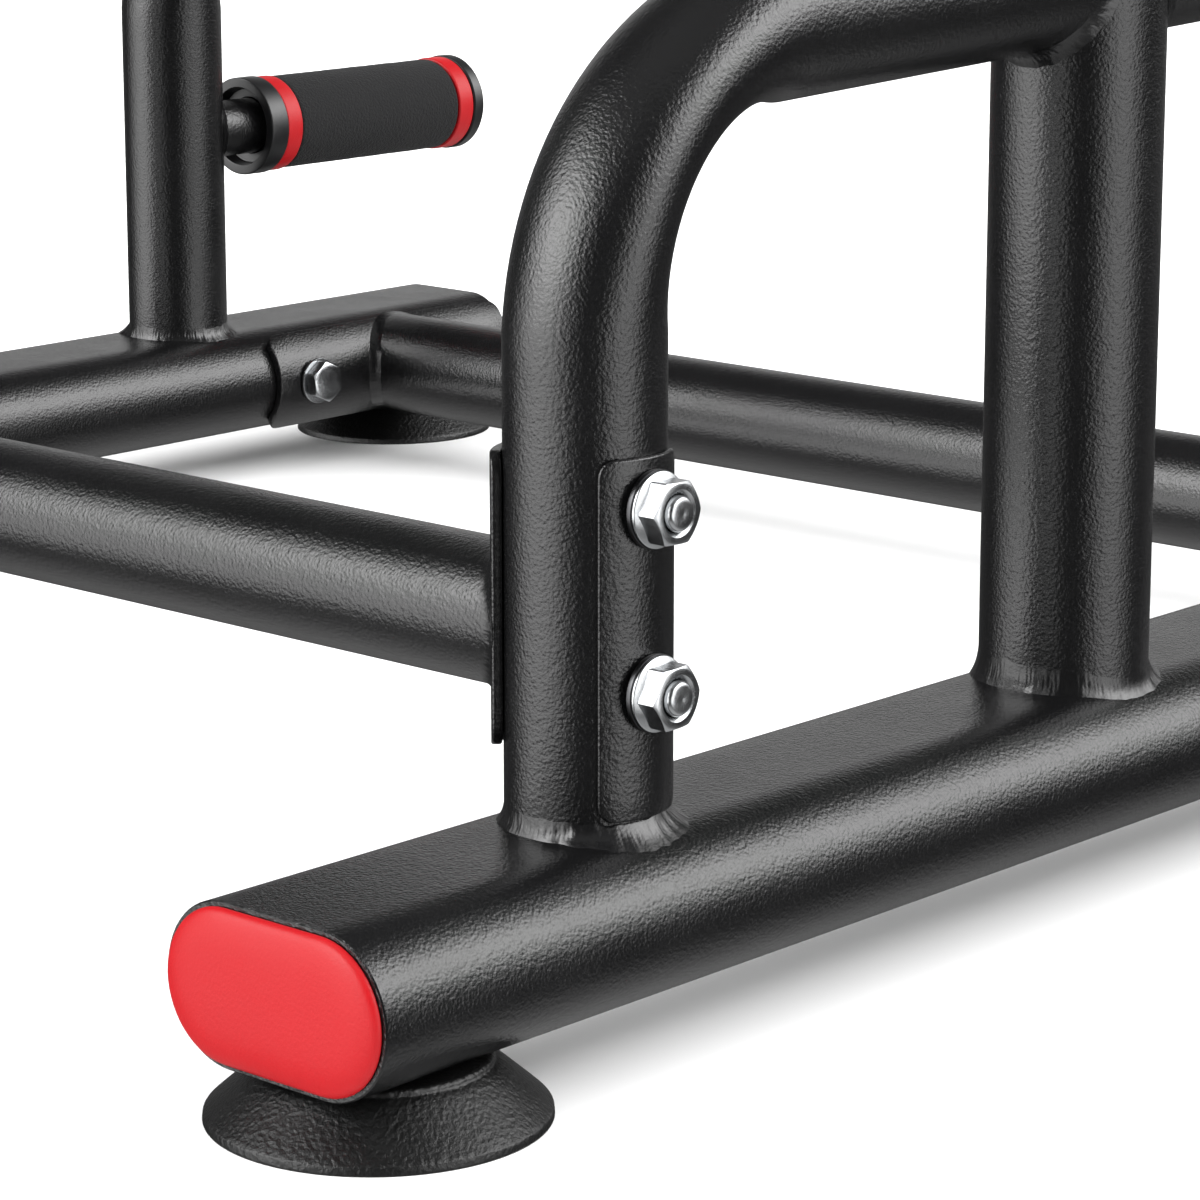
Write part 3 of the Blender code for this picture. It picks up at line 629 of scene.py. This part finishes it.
for s, side in SIDES:
    x = s * FOOT_X
    for end, leg_y in (("rear", REAR_LEG_Y), ("front", FRONT_LEG_Y)):
        toward, spots = hoop_stations(leg_y, POST_Y + (-POST_R if leg_y < POST_Y else POST_R))
        centres = [np.array((x, y, z)) for y, z, _, _ in spots]
        tangents = [np.array((0, toward * math.sin(t), math.cos(t))) for _, _, t, _ in spots]
        inplane = [LEG_R * (1 - 0.22 * q) for *_, q in spots]
        across = [LEG_R * (1 + 0.035 * q) for *_, q in spots]

        def on_foot(p):
            return np.array((p[0], p[1], foot_height(p[0] - x) + 0.0001))

        def on_post(p):
            y = POST_Y - toward * math.sqrt((POST_R + 0.0001) ** 2 - (p[0] - x) ** 2)
            return np.array((p[0], y, p[2] + (y - p[1]) * math.tan(HOOP_RISE)))

        hoop = piece(
            f"hoop_{side}_{end}_skin",
            [swept(centres, tangents, (1, 0, 0), across, inplane, LEG_WALL, 72, on_foot, on_post)],
            "base_frame", [f"hoop_{side}_{end}"], COAT, sharp=30)
        if end == "rear":
            bored(hoop, [((x, leg_y, z), "X", 0.0055, 0.070) for z in STUD_Z])
        calm = ((-180, 0.9), (-120, 1.0), (-70, 1.0), (-40, 0.45), (0, 0.35), (60, 0.6), (120, 0.9))
        piece(
            f"weld_{side}_{end}_leg",
            [foot_weld(s, x, leg_y, LEG_R, LEG_TOE, LEG_RISE, calm, 3.1 + (5 if end == "front" else 0) + s)],
            "base_frame", [f"hoop_{side}_{end}"], BEAD_COAT, sharp=70)
        piece(
            f"weld_{side}_{end}_run", [run_weld(s, x, toward, 11.3 + toward + 2 * s)],
            "base_frame", [f"hoop_{side}_{end}"], BEAD_COAT, sharp=70)

    post = between(
        POST_R, POST_WALL, lambda p, q: foot_height(p) + 0.0001, lambda p, q: POST_TOP,
        lambda a, p, q: (x + p, POST_Y + q, a), 80, 12)
    upright = piece(f"upright_{side}_skin", [post], "base_frame", [f"upright_{side}"], COAT, sharp=30)
    bored(upright, [
        ((x + s * 0.026, POST_Y, PIN_Z), "X", PIN_R + 0.0004, 0.012), ((x, POST_Y, MID_BAR_Z), "X", 0.0055, 0.080)])
    boss = between(
        0.011, 0.011 - PIN_R - 0.0004, lambda p, q: s * math.sqrt(POST_R**2 - p * p), lambda p, q: s * 0.042,
        lambda a, p, q: (x + a, POST_Y + p, PIN_Z + q), 48, 2, 0.0007)
    piece(f"plunger_boss_{side}_skin", [boss], "base_frame", [f"upright_{side}"], COAT)
    calm = ((-180, 0.9), (-120, 1.0), (-70, 1.1), (-45, 0.9), (-20, 1.0), (0, 0.5), (60, 0.6), (120, 0.9))
    piece(
        f"weld_{side}_post", [foot_weld(s, x, POST_Y, POST_R, POST_TOE, POST_RISE, calm, 7.7 + s)],
        "base_frame", [f"upright_{side}"], BEAD_COAT, sharp=70)

    bush = softened([
        (POST_R, POST_TOP + GAP), (POST_R, POST_TOP + 0.0045), (0.0223, POST_TOP + 0.0045), (0.0223, POST_TOP - 0.030),
        (0.0237, POST_TOP - 0.030), (0.0237, POST_TOP + GAP)], (0.0003, 0.0014, 0.0006, 0.0003, 0.0003, 0))
    piece(
        f"mast_bush_{side}_skin", [turned(bush, (x, POST_Y, 0), (0, 0, 1), 80)], "base_frame", [f"mast_bush_{side}"],
        PLASTIC)


# ---------------------------------------------------------------- bars with curved flanges
def stud(x0, x1, y, z, s, n=40):
    """A threaded stud from x0 to its domed end at x1, with the lathe's centre dimple in the end."""
    length = abs(x1 - x0)
    profile = [(0, length - 0.00010), (0.0005, length - 0.00008), (0.0009, length), (0.0020, length),
               (0.0031, length - 0.00003), (0.0038, length - 0.00014), (0.0043, length - 0.00036), (0.0047, length - 0.0008),
               (0.0049, length - 0.0014)]
    k = length - 0.0021
    while k > length - 0.0075:
        profile += [(0.0050, k), (0.0050, k - 0.0003), (0.00465, k - 0.0008)]
        k -= 0.0014
    profile += [(0.0049, k), (0.0049, 0.0), (0, 0)]
    return turned(profile, (x0, y, z), (s, 0, 0), n)


def bar_weld(s, y, z, r_bar, centre_x, r_flange, seed, axis="Z"):
    """The bead where a crossbar's end meets its flange."""
    count = 420
    points, first, second = [], [], []
    for k in range(count):
        t = 2 * math.pi * k / count
        p, q = r_bar * math.cos(t), r_bar * math.sin(t)
        bent = p if axis == "Z" else q
        deep = math.sqrt(r_flange**2 - bent * bent)
        points.append((s * (centre_x - deep), y + p, z + q))
        first.append((-s, 0, 0))
        out = np.array((0, math.cos(t), math.sin(t)))
        normal = np.array((-s * deep, p, 0) if axis == "Z" else (-s * deep, 0, q)) / r_flange
        lie = out - normal * (out @ normal)
        second.append(lie / np.linalg.norm(lie))
    a = np.full(count, 0.0040)
    b = np.array([0.0034 * (0.25 + 0.75 * abs(math.sin(2 * math.pi * k / count) if axis == "Z" else math.cos(
        2 * math.pi * k / count)) ** 1.5) for k in range(count)])
    return weld(*(np.array(v, float) for v in (points, first, second, a, b, np.full(count, 0.00009))), seed)


def stud_bar(name, y, z, r, post_r, half_angle, flange_z, stud_z, stud_end, corner, seed):
    r_out = post_r + GAP + FLANGE_T

    def end(p):
        return FOOT_X - math.sqrt(r_out**2 - p * p)

    tube = between(
        r, BAR_WALL, lambda p, q: -end(p), lambda p, q: end(p), lambda a, p, q: (a, y + p, z + q), 72, 16, 0.0)
    shells = [tube]
    for s, _ in SIDES:
        surface = round_plate(s * FOOT_X, y, r_out, -s, "Z")
        shells.append(plate(surface, r_out * math.radians(half_angle), *flange_z, corner, FLANGE_T, 0.0007))
        for k in stud_z:
            shells.append(stud(s * (FOOT_X - post_r - GAP - 0.001), s * stud_end, y, k, s))
    made = piece(f"{name}_skin", shells, "base_frame", [name], COAT)
    made.data.materials.append(ZINC)
    for face in made.data.polygons:
        c = face.center
        near = any(math.hypot(c.y - y, c.z - k) < 0.0056 for k in stud_z)
        if near and abs(c.x) > FOOT_X - post_r + 0.001:
            face.material_index = 1
    for s, side in SIDES:
        piece(
            f"weld_{name}_{side}", [bar_weld(s, y, z, r, FOOT_X, r_out, seed + s)], "base_frame", [name],
            BEAD_COAT, sharp=70)


stud_bar(
    "rear_crossbar", REAR_LEG_Y, REAR_BAR_Z, REAR_BAR_R, LEG_R, 54, (0.0836, 0.1642), STUD_Z, FOOT_X + 0.0347, 0.006, 21.0)
stud_bar(
    "mid_crossbar", POST_Y, MID_BAR_Z, MID_BAR_R, POST_R, 45, (MID_BAR_Z - 0.045, MID_BAR_Z + 0.045), (MID_BAR_Z,),
    FOOT_X + POST_R + 0.0110, 0.006, 25.0)

flange_out = FOOT_H / 2 + GAP + FRONT_FLANGE_T


def floor_end(q):
    return FLOOR_ROUND_X - math.sqrt(flange_out**2 - q * q)


shells = [between(
    FRONT_BAR_R, BAR_WALL, lambda p, q: -floor_end(q), lambda p, q: floor_end(q),
    lambda a, p, q: (a, FRONT_BAR_Y + p, FOOT_Z + q), 72, 16, 0.0)]
for s, _ in SIDES:
    surface = round_plate(s * FLOOR_ROUND_X, FOOT_Z, flange_out, -s, "Y")
    shells.append(plate(
        surface, flange_out * math.radians(55), FRONT_BAR_Y - 0.081, FRONT_BAR_Y + 0.067, 0.007, FRONT_FLANGE_T))
piece("front_crossbar_skin", shells, "base_frame", ["front_crossbar"], COAT)
for s, side in SIDES:
    piece(
        f"weld_front_crossbar_{side}",
        [bar_weld(s, FRONT_BAR_Y, FOOT_Z, FRONT_BAR_R, FLOOR_ROUND_X, flange_out, 30.0 + s, "Y")], "base_frame",
        ["front_crossbar"], BEAD_COAT, sharp=70)


# ---------------------------------------------------------------- strips, nuts and bolts
def ring_profile(r_out, r_in, h0, h1, ease):
    return softened([(r_out, h0), (r_out, h1), (r_in, h1), (r_in, h0)], ease)


def hexagon(origin, s, across, h0, h1, bore, spin=0.0, dome=0.0, y_turn=0.0):
    """A hex nut or head along X with the round chamfer that turning leaves on its corners. bore 0 makes it solid."""
    n = 96
    angles = np.arange(n) * 2 * math.pi / n
    flat = across / 2
    hexes = flat / np.cos((angles - spin + math.pi / 6) % (math.pi / 3) - math.pi / 6)
    corner = flat / math.cos(math.pi / 6)

    def ring(radii, heights):
        return np.stack([
            origin[0] + s * heights, origin[1] + radii * np.cos(angles), origin[2] + radii * np.sin(angles)], axis=1)

    top_circle = np.full(n, flat * 0.965)
    drop = (hexes - flat * 0.965) * 0.55
    heights = np.full(n, h1) - drop
    rings = [ring(hexes - 0.0002, np.full(n, h0)), ring(hexes, np.full(n, h0 + 0.0002)), ring(hexes, heights)]
    rings.append(ring((hexes + top_circle) / 2, np.full(n, h1) - drop * 0.42))
    rings.append(ring(top_circle, np.full(n, h1)))
    if bore:
        rings += [ring(np.full(n, bore + 0.0011), np.full(n, h1)), ring(np.full(n, bore), np.full(n, h1 - 0.0009))]
        rings += [ring(np.full(n, bore), np.full(n, h0 + 0.0004)), ring(np.full(n, bore + 0.0006), np.full(n, h0))]
        return joined_rings(rings, True)
    rings.append(ring(np.full(n, flat * 0.80), np.full(n, h1 + dome * 0.3)))
    rings.append(ring(np.full(n, flat * 0.55), np.full(n, h1 + dome * 0.7)))
    rings.append(ring(np.full(n, flat * 0.25), np.full(n, h1 + dome)))
    return joined_rings(rings, False)


def nut(name, seat, y, z, s, spin, body="base_frame"):
    """Washer, flange and hex of a flanged nut, standing out from its seat."""
    washer = turned(ring_profile(0.0107, 0.0054, 0.0, 0.0016, 0.00035), (seat, y, z), (s, 0, 0), 96)
    skirt = turned(softened([
        (0.0104, 0.0017), (0.0104, 0.0025), (0.0082, 0.0034), (0.0054, 0.0034), (0.0054, 0.0017)],
        (0.0003, 0.0004, 0.0005, 0, 0)), (seat, y, z), (s, 0, 0), 96)
    hexa = hexagon((seat, y, z), s, 0.0164, 0.0030, 0.0092, 0.0053, spin)
    made = piece(name + "_skin", [washer, skirt, hexa], body, [name], ZINC, sharp=32)
    made.data.materials.append(DARK)
    for face in made.data.polygons[:len(washer[1])]:
        face.material_index = 1


for s, side in SIDES:
    surface = round_plate(s * FOOT_X, REAR_LEG_Y, LEG_R + GAP + STRIP_T, s, "Z")
    strip = plate(surface, (LEG_R + GAP + STRIP_T) * math.radians(39.5), 0.0678, 0.1658, 0.0048, STRIP_T, 0.0007)
    piece(f"nut_strip_{side}_skin", [strip], "base_frame", [f"nut_strip_{side}"], COAT)
    for (level, z), spin in zip((("lower", STUD_Z[0]), ("upper", STUD_Z[1])), (0.57, 0.50)):
        nut(f"rear_nut_{side}_{level}", s * (FOOT_X + LEG_R + STRIP_T + 2 * GAP), REAR_LEG_Y, z, s, spin)
    nut(f"mid_nut_{side}", s * (FOOT_X + POST_R + GAP), POST_Y, MID_BAR_Z, s, 0.2)

    seat = FLOOR_ROUND_X - FOOT_H / 2 - GAP - FRONT_FLANGE_T - GAP
    for (end, d), spin in zip((("rear", -0.059), ("front", 0.053)), (0.1, 0.4)):
        y = FRONT_BAR_Y + d
        place = (s * seat, y, FOOT_Z)
        washer = turned(ring_profile(0.01025, 0.0051, 0.0, 0.0014, 0.0003), place, (-s, 0, 0), 72)
        head = hexagon(place, -s, 0.0163, 0.0015, 0.0072, 0.0, spin, 0.0004)
        shank = turned(
            [(0, 0.0010), (0.0049, 0.0010), (0.0049, -0.0165), (0.0041, -0.0175), (0, -0.0175)], place, (-s, 0, 0), 40)
        piece(
            f"floor_bolt_{side}_{end}_skin", [washer, head, shank], "base_frame", [f"floor_bolt_{side}_{end}"],
            ZINC, sharp=32)


# ---------------------------------------------------------------- grips and end caps
def foam_wobble(seed):
    def lump(angle, h):
        spot = Vector((math.cos(angle) * 2.4, math.sin(angle) * 2.4, h * 90 + seed))
        return 0.00013 * noise.noise(spot) + 0.00006 * noise.noise(spot * 3.7)

    return lump


def foam_grip(name, r_out, r_in, origin, axis, h0, h1, body, seed):
    """Moulded foam sleeve with soft rounded ends."""
    profile = softened([(r_in, h1), (r_in, h0), (r_out, h0), (r_out, h1)], (0.0003, 0.0003, 0.0017, 0.0017), 5)
    low = [p for p in profile if p[1] < (h0 + h1) / 2]
    high = [p for p in profile if p[1] >= (h0 + h1) / 2]
    split = next(i for i, p in enumerate(high) if p[0] > r_out - 0.0018)
    inner_high, outer_high = high[:split], high[split:]
    count = int((h1 - h0 - 0.004) / 0.0025)
    run = [(r_out, h0 + 0.002 + (h1 - h0 - 0.004) * k / count) for k in range(1, count)]
    profile = inner_high + low + run + outer_high
    made = piece(
        name + "_skin", [turned(profile, origin, axis, 96, foam_wobble(seed))], body, [name], FOAM, sharp=80)
    return made


def knob_profile(r, bore, length, depth):
    return softened([
        (0, length), (r * 0.50, length - 0.0002), (r * 0.86, length - 0.0012), (r, length - 0.0046), (r, 0.0006),
        (r - 0.0006, 0), (bore, 0), (bore, depth), (0, depth)], (0, 0.006, 0.0035, 0.0015, 0.0003, 0.0003, 0.0002, 0, 0),
        4, closed=False)


for s, side in SIDES:
    x = s * FOOT_X
    bore = HANDLE_TUBE_R + GAP
    y = HANDLE_Y
    # the collar is dished towards the leg, so that the bare tube shows in its recess
    collar = softened([
        (0.0220, y), (0.0220, y + COLLAR_L - GAP), (bore, y + COLLAR_L - GAP), (bore, y + 0.0062), (0.0168, y + 0.0058),
        (0.0176, y)], (0.0007, 0.0004, 0.0002, 0.0003, 0.0006, 0.0004), 4)
    piece(
        f"pushup_collar_{side}_skin", [turned(collar, (x, 0, HANDLE_Z), (0, 1, 0), 80)], "base_frame",
        [f"pushup_collar_{side}"], PLASTIC)
    y += COLLAR_L
    for which in ("inner", "outer"):
        band = softened(
            [(0.0215, y), (0.0215, y + RING_L - GAP), (bore, y + RING_L - GAP), (bore, y)], (0.0010, 0.0010, 0.0002, 0.0002), 4)
        piece(
            f"pushup_ring_{which}_{side}_skin", [turned(band, (x, 0, HANDLE_Z), (0, 1, 0), 80)], "base_frame",
            [f"pushup_ring_{which}_{side}"], RED)
        y += RING_L
        if which == "inner":
            foam_grip(
                f"pushup_grip_{side}", 0.0210, bore, (x, 0, HANDLE_Z), (0, 1, 0), y, y + FOAM_L - GAP, "base_frame", 1.0 + s)
            y += FOAM_L
    core = between(
        HANDLE_TUBE_R, 0.0015, lambda p, q: FRONT_LEG_Y + math.sqrt((LEG_R + 0.0001) ** 2 - p * p),
        lambda p, q: y + 0.004, lambda a, p, q: (x + p, a, HANDLE_Z + q), 64, 6, 0.0)
    piece(f"pushup_tube_{side}_skin", [core], "base_frame", [f"pushup_tube_{side}"], COAT)
    count = 300
    seam, first, second = [], [], []
    for k in range(count):
        t = 2 * math.pi * k / count
        p, q = HANDLE_TUBE_R * math.cos(t), HANDLE_TUBE_R * math.sin(t)
        deep = math.sqrt(LEG_R**2 - p * p)
        seam.append((x + p, FRONT_LEG_Y + deep, HANDLE_Z + q))
        first.append((0, 1, 0))
        out, normal = np.array((math.cos(t), 0, math.sin(t))), np.array((p, deep, 0)) / LEG_R
        lie = out - normal * (out @ normal)
        second.append(lie / np.linalg.norm(lie))
    args = (np.array(v, float) for v in (
        seam, first, second, np.full(count, 0.0030), np.full(count, 0.0030), np.full(count, 0.00008)))
    piece(
        f"weld_pushup_tube_{side}", [weld(*args, 40.0 + s)], "base_frame", [f"pushup_tube_{side}"],
        BEAD_COAT, sharp=70)
    piece(
        f"pushup_end_cap_{side}_skin", [turned(knob_profile(0.022, bore, KNOB_L, 0.0045), (x, y, HANDLE_Z), (0, 1, 0), 80)],
        "base_frame", [f"pushup_end_cap_{side}"], PLASTIC, sharp=45)

    # dip arm
    x = s * DIP_X
    arm = between(
        DIP_R, BAR_WALL, lambda p, q: POST_Y + math.sqrt((MID_BAR_R + 0.0001) ** 2 - q * q), lambda p, q: DIP_END_Y,
        lambda a, p, q: (x + p, a, MID_BAR_Z + q), 64, 10, 0.0)
    piece(f"dip_arm_{side}_skin", [arm], "base_frame", [f"dip_arm_{side}"], COAT)
    seam, first, second = [], [], []
    for k in range(count):
        t = 2 * math.pi * k / count
        p, q = DIP_R * math.cos(t), DIP_R * math.sin(t)
        deep = math.sqrt(MID_BAR_R**2 - q * q)
        seam.append((x + p, POST_Y + deep, MID_BAR_Z + q))
        first.append((0, 1, 0))
        out, normal = np.array((math.cos(t), 0, math.sin(t))), np.array((0, deep, q)) / MID_BAR_R
        lie = out - normal * (out @ normal)
        second.append(lie / np.linalg.norm(lie))
    args = (np.array(v, float) for v in (
        seam, first, second, np.full(count, 0.0038), np.full(count, 0.0034), np.full(count, 0.00009)))
    piece(
        f"weld_dip_arm_{side}", [weld(*args, 44.0 + s)], "base_frame", [f"dip_arm_{side}"], BEAD_COAT,
        sharp=70)
    foam_grip(
        f"dip_grip_{side}", 0.0210, DIP_R + GAP, (x, 0, MID_BAR_Z), (0, 1, 0), 0.178, 0.318, "base_frame", 5.0 + s)
    piece(
        f"dip_end_cap_{side}_skin",
        [turned(knob_profile(0.022, DIP_R + GAP, 0.018, DIP_END_Y - 0.318), (x, 0.318 + GAP, MID_BAR_Z), (0, 1, 0), 80)],
        "base_frame", [f"dip_end_cap_{side}"], RED, sharp=45)

# ---------------------------------------------------------------- masts, pull-up bar and plungers
bend_x = BAR_STRAIGHT + BAR_BEND_R * math.sin(BAR_BEND)
bend_z = -BAR_BEND_R * (1 - math.cos(BAR_BEND))
half = [(BAR_STRAIGHT * k / 8, 0.0, 0.0) for k in range(1, 8)]
half += [(
    BAR_STRAIGHT + BAR_BEND_R * math.sin(BAR_BEND * k / 14), -BAR_BEND_R * (1 - math.cos(BAR_BEND * k / 14)), BAR_BEND * k / 14)
    for k in range(15)]
half += [(bend_x + d * math.cos(BAR_BEND), bend_z - d * math.sin(BAR_BEND), BAR_BEND) for d in (0.03, 0.07, 0.10, BAR_TAIL)]
path = [(-px, pz, -t) for px, pz, t in reversed(half)] + [(0.0, 0.0, 0.0)] + half
centres = [np.array((px, POST_Y, BAR_Z + pz)) for px, pz, _ in path]
tangents = [np.array((math.cos(t), 0, -math.sin(t))) for _, _, t in path]
sizes = [BAR_R] * len(path)
piece(
    "pullup_bar_skin", [swept(centres, tangents, (0, 1, 0), sizes, sizes, 0.002, 72)], "top_frame", ["pullup_bar"],
    COAT, sharp=30)

for s, side in SIDES:
    x = s * FOOT_X
    tube = between(
        MAST_R, MAST_WALL, lambda p, q: MAST_BOTTOM,
        lambda p, q: BAR_Z - max(0.007, math.sqrt(max((BAR_R + 0.0001) ** 2 - q * q, 0.0))),
        lambda a, p, q: (x + p, POST_Y + q, a), 80, 14)
    mast = piece(f"mast_{side}_skin", [tube], "top_frame", [f"mast_{side}"], COAT, sharp=30)
    bored(mast, [((x + s * 0.022, POST_Y, PIN_Z - 0.050 * k), "X", 0.0055, 0.016) for k in range(5)])

    # the bead that holds the bar in the mast's saddle, along both sides of the bar
    count = 420
    seam, first, second = [], [], []
    for k in range(count):
        t = 2 * math.pi * k / count
        p, q = MAST_R * math.cos(t), MAST_R * math.sin(t)
        q_on = max(-BAR_R * 0.93, min(BAR_R * 0.93, q))
        z = BAR_Z - math.sqrt(BAR_R**2 - q_on * q_on)
        seam.append((x + p, POST_Y + q_on, z))
        first.append((0.0, 0.0, -1.0))
        out = np.array((math.cos(t), math.sin(t), 0.0))
        normal = np.array((0, q_on, z - BAR_Z)) / BAR_R
        lie = out - normal * (out @ normal)
        second.append(lie / np.linalg.norm(lie))
    args = (np.array(v, float) for v in (
        seam, first, second, np.full(count, 0.0036), np.full(count, 0.0032), np.full(count, 0.00009)))
    piece(
        f"weld_mast_{side}", [weld(*args, 50.0 + s)], "top_frame", [f"mast_{side}"], BEAD_COAT, sharp=70)

    tail = np.array((s * math.cos(BAR_BEND), 0, -math.sin(BAR_BEND)))
    root = np.array((s * bend_x, POST_Y, BAR_Z + bend_z))
    foam_grip(
        f"pullup_grip_{side}", 0.0195, BAR_R + GAP, root, tail, 0.006, BAR_TAIL - 0.012, "top_frame", 9.0 + s)
    piece(
        f"pullup_end_cap_{side}_skin",
        [turned(knob_profile(0.0200, BAR_R + GAP, 0.0152, 0.0115 + GAP), root + tail * (BAR_TAIL - 0.0115), tail, 80)],
        "top_frame", [f"pullup_end_cap_{side}"], RED, sharp=45)

    # pull knob with finger flutes, on a steel pin
    start = 0.0217 + PIN_TRAVEL
    knob = softened([
        (0, start + 0.026), (0.0090, start + 0.0258), (0.0142, start + 0.0232), (0.0160, start + 0.0150),
        (0.0150, start + 0.0060), (0.0100, start), (0.0060, start), (0.0060, start + 0.001), (0, start + 0.001)],
        (0, 0.004, 0.003, 0.004, 0.003, 0.001, 0, 0, 0), 4, closed=False)

    def flutes(angle, h):
        reach = max(0.0, min(1.0, (h - start - 0.002) / 0.006)) * max(0.0, min(1.0, (start + 0.024 - h) / 0.005))
        return -0.0011 * reach * max(0.0, math.cos(9 * angle)) ** 2

    pivot = (x + s * (POST_R - 0.0017), POST_Y, PIN_Z)
    rod = turned(
        [(0, start + 0.0009), (PIN_R, start + 0.0009), (PIN_R, 0.0012), (PIN_R - 0.0012, 0), (0, 0)], pivot, (s, 0, 0), 48)
    plunger = piece(
        f"plunger_{side}_skin", [turned(knob, pivot, (s, 0, 0), 108, flutes), rod], f"plunger_{side}", [f"plunger_{side}"],
        PLASTIC, sharp=40)
    plunger.data.materials.append(ZINC)
    for face in plunger.data.polygons:
        c = face.center
        if math.hypot(c.y - POST_Y, c.z - PIN_Z) < 0.0056 and abs(c.x) < abs(pivot[0]) + start + 0.0008:
            face.material_index = 1

# ---------------------------------------------------------------- floor
floor_mesh = bpy.data.meshes.new("floor")
floor_mesh.from_pydata([(-150, -150, 0), (150, -150, 0), (150, 150, 0), (-150, 150, 0)], [], [(0, 1, 2, 3)])
floor = bpy.data.objects.new("floor", floor_mesh)
bpy.context.scene.collection.objects.link(floor)
paper = Finish("floor_paper", (0.86, 0.86, 0.86), 0.9, specular=0.0)
floor_mesh.materials.append(paper.material)
floor.visible_glossy = False

# ---------------------------------------------------------------- light
scene = bpy.context.scene
sky = bpy.data.worlds.new("studio")
scene.world = sky
sky.use_nodes = True
tree = sky.node_tree
tree.nodes.clear()


def world_node(kind, **settings):
    node = tree.nodes.new(kind)
    for key, value in settings.items():
        setattr(node, key, value)
    return node


def calc(operation, *inputs):
    node = world_node("ShaderNodeMath", operation=operation)
    for i, value in enumerate(inputs):
        if isinstance(value, (int, float)):
            node.inputs[i].default_value = value
        else:
            tree.links.new(value, node.inputs[i])
    return node.outputs[0]


split = world_node("ShaderNodeSeparateXYZ")
tree.links.new(world_node("ShaderNodeTexCoord").outputs["Generated"], split.inputs[0])
azimuth = calc("MULTIPLY", calc("ARCTAN2", split.outputs["Y"], split.outputs["X"]), 180 / math.pi)
height = calc("MULTIPLY", calc("ARCSINE", split.outputs["Z"]), 180 / math.pi)


def soft_step(value, start, stop):
    node = world_node("ShaderNodeMapRange", interpolation_type="SMOOTHSTEP")
    tree.links.new(value, node.inputs["Value"])
    node.inputs["From Min"].default_value, node.inputs["From Max"].default_value = start, stop
    return node.outputs["Result"]


def away(centre):
    """How many degrees the direction's azimuth is from a centre, across the seam too."""
    turned_to = calc("SUBTRACT", azimuth, centre)
    return calc("SUBTRACT", turned_to, calc("MULTIPLY", 360.0, calc("ROUND", calc("DIVIDE", turned_to, 360.0))))


def panel(centre, half_width, soft, low, soft_low, high, soft_high, strength):
    """A soft-edged light panel, given by its azimuth and height range in degrees."""
    aside = soft_step(calc("ABSOLUTE", away(centre)), half_width + soft, half_width - soft)
    up = calc(
        "MULTIPLY", soft_step(height, low - soft_low, low + soft_low), soft_step(height, high + soft_high, high - soft_high))
    return calc("MULTIPLY", calc("MULTIPLY", aside, up), strength)


def glow(centre, middle, half_width, half_height, soft, strength):
    """The oval patch of lit floor in front of a panel."""
    across, up = calc("DIVIDE", away(centre), half_width), calc("DIVIDE", calc("SUBTRACT", height, middle), half_height)
    reach = calc("SQRT", calc("ADD", calc("MULTIPLY", across, across), calc("MULTIPLY", up, up)))
    return calc("MULTIPLY", soft_step(reach, 1 + soft, 1 - soft), strength)


radiance = calc("MULTIPLY", soft_step(height, -18.0, -56.0), 0.80)
for settings in (
    (-118, 28, 22, 14, 17, 41, 11, 13.0),
    (36, 35, 22, 15, 17, 44, 12, 10.2),
    (116, 38, 24, 0, 16, 22, 16, 0.95),
    (0, 180, 5, 62, 14, 91, 14, 0.40),
):
    radiance = calc("ADD", radiance, panel(*settings))
for settings in ((-112, -6, 35, 17, 0.6, 4.9), (6, -6, 23, 16, 0.6, 3.7)):
    radiance = calc("ADD", radiance, glow(*settings))
radiance = calc("ADD", radiance, 0.07)
light = world_node("ShaderNodeBackground")
tree.links.new(radiance, light.inputs["Strength"])
white = world_node("ShaderNodeBackground")
white.inputs["Strength"].default_value = 1.05
mix = world_node("ShaderNodeMixShader")
tree.links.new(world_node("ShaderNodeLightPath").outputs["Is Camera Ray"], mix.inputs["Fac"])
tree.links.new(light.outputs[0], mix.inputs[1])
tree.links.new(white.outputs[0], mix.inputs[2])
tree.links.new(mix.outputs[0], world_node("ShaderNodeOutputWorld").inputs["Surface"])

lamp = bpy.data.lights.new("overhead", "SUN")
lamp.energy = 3.4
lamp.angle = math.radians(110)
overhead = bpy.data.objects.new("overhead", lamp)
bpy.context.scene.collection.objects.link(overhead)
overhead.location = (0, 0, 6)
overhead.visible_glossy = False

scene.view_settings.view_transform = "Standard"
scene.view_settings.look = "None"
scene.view_settings.exposure = 0.0

# ---------------------------------------------------------------- camera
lens = bpy.data.cameras.new("camera")
lens.sensor_width, lens.lens = 36.0, 127.35
lens.clip_start, lens.clip_end = 0.05, 400
camera = bpy.data.objects.new("camera", lens)
scene.collection.objects.link(camera)
camera.location = (1.077, -1.074, 0.382)
camera.rotation_euler = (math.radians(90 - 13.19), 0, math.radians(42.14))
scene.camera = camera
